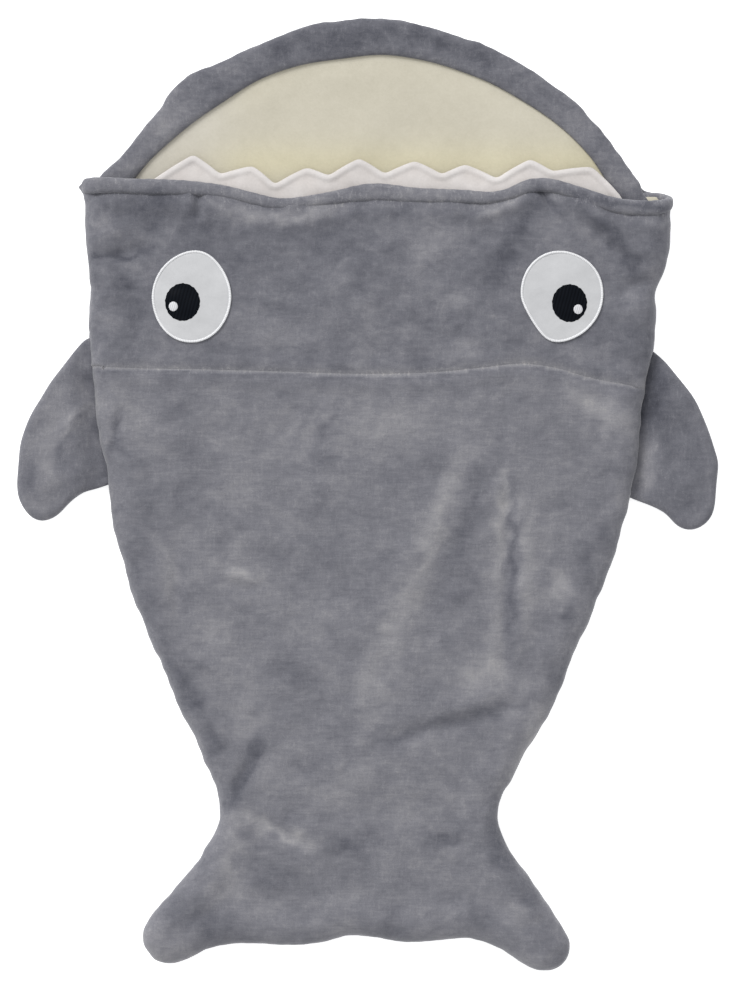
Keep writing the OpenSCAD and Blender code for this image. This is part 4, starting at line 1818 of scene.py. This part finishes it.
@dataclass
class MouthBinding(Part):
    """The plush roll that binds the mouth and turns round its two corners.

    Attributes:
        half_height: Half the roll's height.
        level: The height of its middle on the front.
        low_level: The height of its middle behind the corner.
        run_back: How far it runs back behind each corner.
        climb: How much further up it lies behind the left and the right corner.
        sections: How many points go round it.
    """

    half_height: float = 0.0043
    level: float = 0.0296
    low_level: float = 0.0068
    run_back: float = 0.021
    climb: tuple[float, float] = (0.0010, 0.0112)
    sections: int = 22

    def path(self) -> Array:
        """Gives the roll's middle line, from behind the left corner to behind the right.

        Returns:
            The line's points in space.
        """
        lay = self.layout
        left, right = -lay.mouth_half + 0.0112, lay.mouth_half + 0.0086
        x = np.arange(left + 0.006, right - 0.006, 0.0022)
        front = np.column_stack([x, lay.mouth(x) - 0.5 * lay.roll(x), np.full(len(x), self.level)])
        turns = []
        for end, sign, climb in ((left, -1.0, self.climb[0]), (right, 1.0, self.climb[1])):
            here = np.array([end])
            y = float((lay.mouth(here) - 0.5 * lay.roll(here))[0])
            angle = np.linspace(0, math.pi, 14)
            mid = 0.5 * (self.level + self.low_level)
            radius = 0.5 * (self.level - self.low_level)
            arc = np.column_stack([
                end - sign * 0.0105 + sign * 0.0115 * np.sin(angle),
                y + climb * np.sin(angle / 2) ** 2,
                mid + radius * np.cos(angle),
            ])
            back = np.column_stack([
                end - sign * (0.0105 + np.linspace(0.002, self.run_back, 7)),
                np.full(7, y + climb), np.full(7, self.low_level),
            ])
            turns.append(np.vstack([arc, back]))
        inner = front[(front[:, 0] > left + 0.012) & (front[:, 0] < right - 0.012)]
        path = np.vstack([turns[0][::-1], inner, turns[1]])
        return soften(resample(path, 0.0022), 6)

    def build(self) -> Object:
        """Makes the roll, with the small puckers that sewing it gives.

        Returns:
            The roll.
        """
        path = self.path()
        run = np.gradient(path, axis=0)
        run /= np.linalg.norm(run, axis=1)[:, None]
        across = np.tile(np.array([0.0, 1.0, 0.0]), (len(path), 1))
        across -= run * (across * run).sum(1)[:, None]
        across /= np.linalg.norm(across, axis=1)[:, None]
        up = np.cross(run, across)
        length = np.r_[0, np.cumsum(np.linalg.norm(np.diff(path, axis=0), axis=1))]
        line = np.column_stack([length, np.zeros(len(length))])
        pucker = Ripple(0.035, 0.012, 51).lift(line) + Ripple(0.04, 0.060, 53).lift(line)
        ends = np.minimum(1.0, np.minimum(length, length[-1] - length) / 0.006) ** 0.5
        slim = smoothstep(path[:, 2], 0.010, 0.028)
        half = 0.5 * self.layout.roll(path[:, 0]) * (0.70 + 0.30 * slim)
        wide = half * (1 + pucker) * np.maximum(ends, 0.15)
        high = self.half_height * (1 + 0.8 * pucker) * np.maximum(ends, 0.15)
        return sweep("mouth_binding_roll", path, across, up, wide, high, self.sections, power=0.86)

    def dress(self, piece: Object) -> None:
        """Gives the roll its finish.

        Args:
            piece: The roll.
        """
        put = self.wardrobe
        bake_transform(piece)
        # Painted highlight flecks all over the roll.
        put.nap.brush(piece, lambda xy: np.full(len(xy), 0.24))
        nodes = ("mouth_binding", "binding_loop_left", "binding_loop_right")
        put.wear(piece, put.bound, Slot.PLUSH, 0.7, *nodes)


@dataclass
class ToothStrip(Part):
    """The white zig-zag strip that stands up from inside the binding.

    Attributes:
        peaks: Steps of (x, rise above the mouth's middle line) of each point.
        valleys: The same for the dips between them, with both ends.
        depth: How far the strip runs down inside the mouth.
        middle: The height of the strip's seam.
        rim: How each ply's edge rolls to the seam.
    """

    peaks: Table = mm(
        (-163.8, 33.4), (-107.8, 22.7), (-57, 21.2), (-7.3, 29.9), (45.2, 27.5), (93, 24.2), (154, 29.1),
        (212.2, 21.7),
    )
    valleys: Table = mm(
        (-204, 7.5), (-138.2, 14.6), (-86.8, 4.8), (-36, 13), (16.8, 15), (70.8, 14.4), (122.2, 10.4),
        (175.2, 17.4), (241, -8.5),
    )
    depth: float = 0.016
    middle: float = 0.0232
    rim: Table = (
        (0.0005, 0.0, 1.0), (0.0001, 0.0005, 1.0), (0.0, 0.0010, 1.0), (0.0003, 0.0016, 1.0),
        (0.0010, 0.0021, 1.0),
    )

    def outline(self) -> Array:
        """Gives the strip's outline, anticlockwise.

        Returns:
            The outline's points.
        """
        base = self.layout.mouth_y
        top = [self.valleys[0]]
        for peak, dip in zip(self.peaks, self.valleys[1:]):
            top += [peak, dip]
        points = np.array(top)
        points[:, 1] += base
        bulge = []
        for a, b in zip(points[:-1], points[1:]):
            t = np.linspace(0, 1, 12, endpoint=False)[:, None]
            normal = np.array([-(b - a)[1], (b - a)[0]])
            bulge.append(a + (b - a) * t + normal * 0.022 * np.sin(math.pi * t))
        top_line = np.vstack([*bulge, points[-1:]])
        x = np.linspace(points[0, 0] - 0.002, points[-1, 0] + 0.001, 110)
        low = np.column_stack([x, self.layout.mouth(x) - self.depth])
        loop = resample(np.vstack([low, top_line[::-1]]), 0.0016, closed=True)
        return soften(loop, 7, closed=True)

    def build(self) -> Object:
        """Makes the strip with its thick sewn rim.

        Returns:
            The strip.
        """
        loop = self.outline()

        def swell(xy: Array) -> Array:
            """Gives how far each face stands off the middle: most over the folded-in seam."""
            gap, _ = distance(xy, loop, closed=True)
            step = smoothstep(gap, 0.0040, 0.0078)
            body = 0.0009 + Ripple(0.0002, 0.02, 61).lift(xy)
            return 0.0025 * (1 - step) * smoothstep(gap, -0.0025, 0.0022) + body * step

        def bend(xy: Array) -> Array:
            """Gives the middle's own slight waves: the points droop to the lining."""
            above = xy[:, 1] - self.layout.mouth_y
            return Ripple(0.0007, 0.055, 67).lift(xy) - 0.0035 * smoothstep(above, 0.0, 0.03)

        halves = []
        for facing in (Facing.UP, Facing.DOWN):
            sign = facing.value
            rings = tuple((i, self.middle + sign * z, s) for i, z, s in self.rim)
            halves.append(Skin(
                f"teeth_{facing.name.lower()}", [Side(loop, rings, True)],
                lambda xy, s=sign: self.middle + bend(xy) + s * swell(xy), bend, 0.0021, facing,
            ))
        return close_up("teeth_strip", halves)

    def dress(self, piece: Object) -> None:
        """Gives the strip its finish.

        Args:
            piece: The strip.
        """
        put, y = self.wardrobe, self.layout.mouth_y
        co = np.array([v.co for v in piece.data.vertices], float)[:, :2]
        gap, _ = distance(co, self.outline(), closed=True)
        # Painted highlight on the raised rim: the rim is painted lighter and cooler than the strip's middle,
        # which varies at random.
        NapAndShading.write(piece, NAP_AND_SHADING, 1.0 - smoothstep(gap, 0.0030, 0.0075) + Ripple(0.30, 0.022, 241).lift(co))
        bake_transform(piece)
        put.wear(piece, put.tooth, Slot.TEETH, 0.4, "teeth_top_ply", "teeth_under_ply")


@dataclass(frozen=True)
class EyeShape:
    """How one eye is cut and where its parts lie.

    Attributes:
        wide: The patch's width.
        high: The patch's height.
        shift: How far its middle lies from the pattern's.
        taper: How much it narrows towards its top and its bottom.
        crest: How far its top and its bottom lean to the right.
        lean: How far its lower half bulges to the right.
        pupil: The pupil's place from the patch's middle.
        glint: The glint's place from the pupil's middle.
    """

    wide: float
    high: float
    shift: tuple[float, float]
    taper: tuple[float, float]
    crest: tuple[float, float]
    lean: float
    pupil: tuple[float, float]
    glint: tuple[float, float]


LEFT_EYE = EyeShape(
    0.0728, 0.0846, (0.0055, -0.0006), (0.08, -0.01), (0.0036, 0.0), 0.0,
    (-0.0082, -0.0053), (-0.0087, -0.0041),
)
RIGHT_EYE = EyeShape(
    0.0757, 0.0838, (0.0022, -0.0005), (-0.06, 0.19), (-0.0020, -0.0076), 0.0038,
    (0.0072, -0.0062), (0.0080, -0.0058),
)


@dataclass
class Eye(Part):
    """One eye: a white patch, its satin-stitched edge, a pupil and a glint.

    Attributes:
        right: Whether it is the right eye.
        stitch: The stitched edge's width.
        pupil_wide: The pupil's width.
        pupil_high: The pupil's height.
        glint_radius: The glint's radius.
    """

    right: bool
    stitch: float = 0.0024
    pupil_wide: float = 0.0330
    pupil_high: float = 0.0354
    glint_radius: float = 0.0043

    def __post_init__(self) -> None:
        """Reads the eye's place off the frame and the layout."""
        self.tag = "right" if self.right else "left"
        self.shape = RIGHT_EYE if self.right else LEFT_EYE
        low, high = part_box(f"eye_white_{self.tag}")
        middle = np.array([[0.5 * (low.x + high.x), 0.5 * (low.y + high.y)]])
        self.centre = self.layout.place(middle)[0] + np.array(self.shape.shift)
        self.pupil = self.centre + np.array(self.shape.pupil)
        self.glint = self.pupil + np.array(self.shape.glint)

    def egg(self, points: int = 260) -> Array:
        """Gives the patch's outline, tapered and leaning a little as a hand-cut patch is.

        Args:
            points: How many points it has.

        Returns:
            The outline's points.
        """
        cut = self.shape
        t = np.linspace(0, 2 * math.pi, points, endpoint=False)
        rise = np.sin(t)
        taper = np.where(rise > 0, cut.taper[0], cut.taper[1]) * np.abs(rise) ** 1.15
        crest = np.where(rise > 0, cut.crest[0], cut.crest[1]) * rise ** 4
        x = 0.5 * cut.wide * np.cos(t) * (1 - taper) + crest + cut.lean * np.maximum(-rise, 0.0)
        wobble = 1 + 0.004 * np.sin(3 * t + 0.7) + 0.003 * np.sin(5 * t)
        loop = np.column_stack([x, 0.5 * cut.high * rise]) * wobble[:, None]
        return self.centre + soften(resample(loop, 0.0011, closed=True), 12, closed=True)

    def oval(self, centre: Array, wide: float, high: float, points: int) -> Array:
        """Gives an oval outline with a slightly stitched edge.

        Args:
            centre: Its middle.
            wide: Its width.
            high: Its height.
            points: How many points it has.

        Returns:
            The outline's points.
        """
        t = np.linspace(0, 2 * math.pi, points, endpoint=False)
        frayed = 1 + 0.010 * np.sin(17 * t) + 0.006 * np.sin(29 * t + 1.0)
        return centre + np.column_stack([0.5 * wide * np.cos(t), 0.5 * high * np.sin(t)]) * frayed[:, None]

    def _disc(self, name: str, loop: Array, lift: float, thick: float, dome: float, spacing: float) -> Object:
        """Makes a thin closed disc that follows the face.

        Args:
            name: The piece's name.
            loop: Its outline.
            lift: How far its underside lies above the face.
            thick: Its thickness at the edge.
            dome: How much fuller its middle is.
            spacing: The distance between the mesh's points.

        Returns:
            The disc.
        """
        reach = float(np.ptp(loop[:, 0])) / 2

        def upper(xy: Array) -> Array:
            """Gives the top's height."""
            gap, _ = distance(xy, loop, closed=True)
            return self.padding.height(xy) + lift + thick + dome * smoothstep(gap, 0.0, reach * 0.6)

        steps = ((0.00025, -0.5), (0.0, 0.0), (0.0003, 0.35), (0.0008, 0.5))
        top_rim = tuple((inset, rise * thick, 1.0) for inset, rise in steps)
        low_rim = ((0.00025, -0.5 * thick, 1.0), (0.0006, -0.5 * thick, 1.0))

        def base(xy: Array) -> Array:
            """Gives the middle of the disc's edge."""
            return self.padding.height(xy) + lift + 0.5 * thick

        return close_up(name, [
            Skin(name, [Side(loop, top_rim, True)], upper, base, spacing),
            Skin(
                name + "_under", [Side(loop, low_rim, True)], lambda xy: self.padding.height(xy) + lift, base,
                spacing * 2.5, Facing.DOWN,
            ),
        ])

    def _stitching(self) -> Object:
        """Makes the satin-stitched edge, with a ridge for each few threads.

        Returns:
            The ring.
        """
        loop = resample(self.egg(600), 0.00042, closed=True)
        z = self.padding.height(loop) + 0.0012
        path = np.column_stack([loop, z])
        normal = -inward(loop, True)
        across = np.column_stack([normal, np.zeros(len(loop))])
        up = np.tile(np.array([0.0, 0.0, 1.0]), (len(loop), 1))
        rng = np.random.default_rng(3 if self.right else 4)
        thread = np.repeat(rng.uniform(-1, 1, len(loop) // 2 + 1), 2)[:len(loop)]
        ridge = np.where(np.arange(len(loop)) % 2 == 0, 1.0, 0.86)
        wide = 0.5 * self.stitch * (1 + 0.10 * thread) * (0.5 + 0.5 * ridge)
        high = 0.00085 * ridge
        return sweep(f"eye_stitching_ring_{self.tag}", path, across, up, wide, high, 10, closed=True)

    def build(self) -> dict[str, Object]:
        """Makes the eye's four pieces, by name.

        Returns:
            The pieces.
        """
        pupil = self.oval(self.pupil, self.pupil_wide, self.pupil_high, 150)
        glint = self.oval(self.glint, 2 * self.glint_radius, 2.1 * self.glint_radius, 60)
        return {
            "patch": self._disc(f"eye_patch_{self.tag}", self.egg(), 0.0001, 0.0011, 0.0003, 0.0026),
            "stitching": self._stitching(),
            "pupil": self._disc(f"pupil_disc_{self.tag}", pupil, 0.0011, 0.0007, 0.0006, 0.0016),
            "glint": self._disc(f"glint_dot_{self.tag}", glint, 0.0021, 0.0005, 0.0004, 0.0010),
        }

    def dress(self, made: dict[str, Object]) -> None:
        """Gives the pieces their body and finishes.

        Args:
            made: The pieces, by name.
        """
        put = self.wardrobe
        for key, finish, slot, node in (
            ("patch", put.felt, Slot.EYE, "eye_white"),
            ("stitching", put.white_thread, Slot.WHITE_THREAD, "eye_stitching"),
            ("pupil", put.black_thread, Slot.BLACK_THREAD, "pupil"),
            ("glint", put.glint_thread, Slot.WHITE_THREAD, "glint"),
        ):
            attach(made[key], Body.HEAD.value)
            put.wear(made[key], finish, slot, 0.2, f"{node}_{self.tag}")


@dataclass
class Fin(Part):
    """One side fin, stuffed and sewn into the side seam.

    Attributes:
        right: Whether it is the right fin.
        joint: The fin's fold in the frame.
        top: Its height at the fullest place.
        seam: The height of its edge seam.
        pinch: How far from the root it takes to fill out.
        ease: How far the filling pushes the outline out.
        left_shape: The left fin's outline.
        right_shape: The right fin's outline.
        upper_rim: Steps of (inset, share of the height) that roll the upper face's edge.
        lower_rim: The same for the lower face.
        left_folds: The left fin's folds.
        right_folds: The right fin's folds.
    """

    right: bool
    joint: dict
    top: float = 0.0168
    seam: float = 0.0072
    pinch: float = 0.024
    ease: float = 0.0024
    left_shape: Table = mm(
        (-261.6, 148.2), (-266.3, 144.9), (-273.9, 135.5), (-285.1, 121.4), (-295.5, 107.3), (-304.9, 93.2),
        (-314.3, 79), (-320.9, 64.9), (-325.6, 50.8), (-327.5, 36.7), (-328.9, 22.6), (-329.4, 8.5),
        (-327.5, -5.6), (-320, -18.8), (-313, -23.6), (-305.5, -24.2), (-294.5, -18.6), (-283.4, -6.2),
        (-269.6, 4.9), (-255.8, 7.7), (-243.5, 11.7), (-233, 16), (-238, 60), (-245, 110), (-250, 142),
    )
    right_shape: Table = mm(
        (250, 137), (245, 100), (241, 50), (237, 6), (249, -0.8), (258.2, -5), (267.8, -8.2), (278.5, -13),
        (286.8, -17.6), (292.2, -25), (298.4, -30.6), (306, -32.3), (312.4, -31.2), (319.8, -26.3),
        (325.1, -19.8), (328, -5.6), (328.9, 8.5), (329.4, 22.6), (330.3, 30.1), (328, 36.7), (324.7, 50.8),
        (320, 64.9), (313.4, 79), (304.9, 93.2), (295.5, 107.3), (283.2, 121.4), (268.7, 133.6), (261, 139),
    )
    upper_rim: Table = (
        (0.0014, 0.0), (0.0005, 0.10), (0.0, 0.26), (0.0002, 0.44), (0.0012, 0.62), (0.0030, 0.76),
        (0.0058, 0.88),
    )
    lower_rim: Table = (
        (0.0014, 0.0), (0.0004, 0.20), (0.0002, 0.45), (0.0014, 0.72), (0.0040, 0.92), (0.0075, 1.0),
    )
    left_folds: tuple[Fold, ...] = folds(MM, (
        (2.2, 5.5, 0.4, 0, -267, 86, -280, 68, -293, 52), (-1, 12, 0, 0, -262, 110, -290, 88, -310, 40),
        (1.2, 10, 0.5, 0, -262, 20, -290, 18, -312, 4),
    ))
    right_folds: tuple[Fold, ...] = folds(MM, (
        (1.4, 12, 0, 0, 270, 120, 300, 80, 316, 30), (-1.2, 8, 0.6, 0, 262, 60, 285, 40, 305, 0),
    ))

    def __post_init__(self) -> None:
        """Reads the fin's fold line off its joint."""
        self.tag = "right" if self.right else "left"
        self.pivot = np.array(self.joint["pos_m"], float)
        axis = np.array(self.joint["axis"], float)
        outward = np.cross(axis / np.linalg.norm(axis), np.array([0.0, 0.0, 1.0]))
        self.outward = outward if (outward[0] > 0) == self.right else -outward

    def outline(self) -> Array:
        """Gives the fin's outline, from inside the side seam round its tip.

        Returns:
            The outline's points.
        """
        loop = anticlockwise(np.array(self.right_shape if self.right else self.left_shape))
        wave = Ripple(0.0005, 0.05, 91 if self.right else 97)
        loop = soften(resample(loop, 0.003, closed=True), 6, closed=True)
        return loop + inward(loop, True) * (wave.lift(loop) - self.ease)[:, None]

    def build(self) -> Object:
        """Makes the fin's two faces and closes them along the seam.

        Returns:
            The fin.
        """
        loop = self.outline()
        inside = self.pivot[:2] + self.outward[:2] * -0.004
        creases = self.right_folds if self.right else self.left_folds
        ripple = Ripple(0.0006, 0.045, 41 if self.right else 43)

        def fullness(xy: Array) -> Array:
            """Gives how full the fin is: thin at its root."""
            reach = (xy - inside) @ self.outward[:2]
            return 0.34 + 0.66 * smoothstep(reach, 0.0, self.pinch)

        def relief(xy: Array) -> Array:
            """Gives the fin's folds."""
            return sum((crease.lift(xy) for crease in creases), ripple.lift(xy))

        def top_height(xy: Array) -> Array:
            """Gives the upper face's height."""
            gap, _ = distance(xy, loop, closed=True)
            dome = 0.88 + 0.12 * smoothstep(gap, 0.0058, 0.026)
            rise = (self.top - self.seam) * dome * fullness(xy)
            return self.seam + rise + relief(xy) * smoothstep(gap, 0, 0.008)

        def low_height(xy: Array) -> Array:
            """Gives the lower face's height."""
            return self.seam - self.seam * fullness(xy)

        return close_up(f"fin_{self.tag}_pad", [
            self._face("upper", loop, Facing.UP, self.upper_rim, top_height, fullness),
            self._face("lower", loop, Facing.DOWN, self.lower_rim, low_height, fullness),
        ])

    def _face(self, name: str, loop: Array, facing: Facing, rim: Table, height: Height, full: Height) -> Skin:
        """Lays out one face, its rim's heights scaled by how full the fin is.

        Args:
            name: Which face it is.
            loop: The fin's outline.
            facing: Where the face looks.
            rim: How its edge rolls.
            height: Gives its height.
            full: Gives how full the fin is.

        Returns:
            The face, not built yet.
        """
        span = self.top - self.seam if facing is Facing.UP else -self.seam
        rings = tuple((inset, self.seam + span * share, 1.0) for inset, share in rim)

        def lessen(xy: Array) -> Array:
            """Gives the change of the rim's height where the fin is thin."""
            gap, _ = distance(xy, loop, closed=True)
            insets, shares = np.array(rim).T
            order = np.argsort(insets)
            return -span * np.interp(gap, insets[order], shares[order]) * (1 - full(xy))

        return Skin(f"fin_{self.tag}_{name}", [Side(loop, rings, True)], height, lessen, 0.0036, facing)

    def dress(self, piece: Object) -> None:
        """Gives the fin its finish.

        Args:
            piece: The fin.
        """
        put = self.wardrobe
        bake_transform(piece)
        # Brushed streaks, painted shadow along the root, and a few painted highlight flecks.
        put.fin_nap.brush(piece)
        parts = ("top", "under", "filling", "root_seam")
        put.wear(piece, put.fin, Slot.PLUSH, 0.5, *(f"fin_{self.tag}_{part}" for part in parts))


# ---------------------------------------------------------------- the studio


@dataclass
class Studio:
    """The pale floor, the soft lights and the camera straight above.

    Attributes:
        lens: The camera's focal length.
        distance: How high the camera stands.
        centre: The point that it looks straight down on.
        floor_size: The floor's width.
        fill: The strength of the light from all round.
        overhead: The strength of the large light above.
        key: The strength of the raking light that shows the folds.
    """

    lens: float = 100.0
    distance: float = 2.60
    centre: tuple[float, float] = (-0.0009, 0.0019)
    floor_size: float = 8.0
    fill: float = 0.62
    overhead: float = 14.0
    key: float = 2.1

    def build(self) -> None:
        """Makes the floor, the lights, the surroundings and the camera."""
        bpy.ops.object.select_all(action="DESELECT")
        bpy.ops.mesh.primitive_plane_add(size=self.floor_size, location=(0, 0, -0.0005))
        floor = bpy.context.object
        floor.name = "studio_floor"
        floor.data.materials.append(FloorFinish().build())
        self._light("overhead_softbox", "AREA", (0.1, 0.2, 3.0), 2.2, self.overhead)
        self._light("key_light", "SUN", (-1.5, 2.1, 1.9), 0.45, self.key)
        self._surroundings()
        self._camera()
        view = bpy.context.scene.view_settings
        view.view_transform = "Standard"
        view.look = "None"
        view.exposure = 0.0
        view.gamma = 1.0

    def _light(self, name: str, kind: str, place: Place, size: float, power: float) -> None:
        """Makes one light that looks at the bag's middle.

        Args:
            name: The light's name.
            kind: A soft square area, or a distant even light.
            place: Where it stands.
            size: The square's side in metres, or the distant light's width in radians.
            power: Its strength.
        """
        data = bpy.data.lights.new(name, kind)
        data.energy = power
        if kind == "AREA":
            data.shape = "SQUARE"
            data.size = size
        else:
            data.angle = size
        lamp = bpy.data.objects.new(name, data)
        lamp.location = place
        aim = Vector((0, 0, 0)) - Vector(place)
        lamp.rotation_euler = aim.to_track_quat("-Z", "Y").to_euler()
        bpy.context.scene.collection.objects.link(lamp)

    def _surroundings(self) -> None:
        """Lights the scene evenly from all round."""
        world = bpy.data.worlds.new("studio_air")
        world.use_nodes = True
        sky = world.node_tree.nodes["Background"]
        sky.inputs["Color"].default_value = (0.98, 0.99, 1.0, 1.0)
        sky.inputs["Strength"].default_value = self.fill
        bpy.context.scene.world = world

    def _camera(self) -> None:
        """Makes the camera, straight above and square to the bag."""
        data = bpy.data.cameras.new(CAMERA_NAME)
        data.lens = self.lens
        data.sensor_width = 36.0
        data.clip_end = 20.0
        camera = bpy.data.objects.new(CAMERA_NAME, data)
        camera.location = (self.centre[0], self.centre[1], self.distance)
        bpy.context.scene.collection.objects.link(camera)
        bpy.context.scene.camera = camera


def main() -> None:
    """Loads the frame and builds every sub-assembly in order."""
    logging.basicConfig(level=logging.INFO, format="%(name)s %(message)s")
    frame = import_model()
    Studio().build()
    joints = {joint["name"]: joint for joint in frame["joints"]}
    layout = Layout(frame["nodes"])
    kit = (layout, Padding(layout), Wardrobe())
    shell = PlushShell(*kit)
    shell.dress(shell.build_front(), shell.build_back())
    parts = [HoodLining(*kit), MouthBinding(*kit), ToothStrip(*kit)]
    for right, fold in ((False, "fin_left_fold"), (True, "fin_right_fold")):
        parts += [Eye(*kit, right), Fin(*kit, right, joints[fold])]
    for part in parts:
        LOG.info("building %s", type(part).__name__)
        part.dress(part.build())


if __name__ == "__main__":
    main()
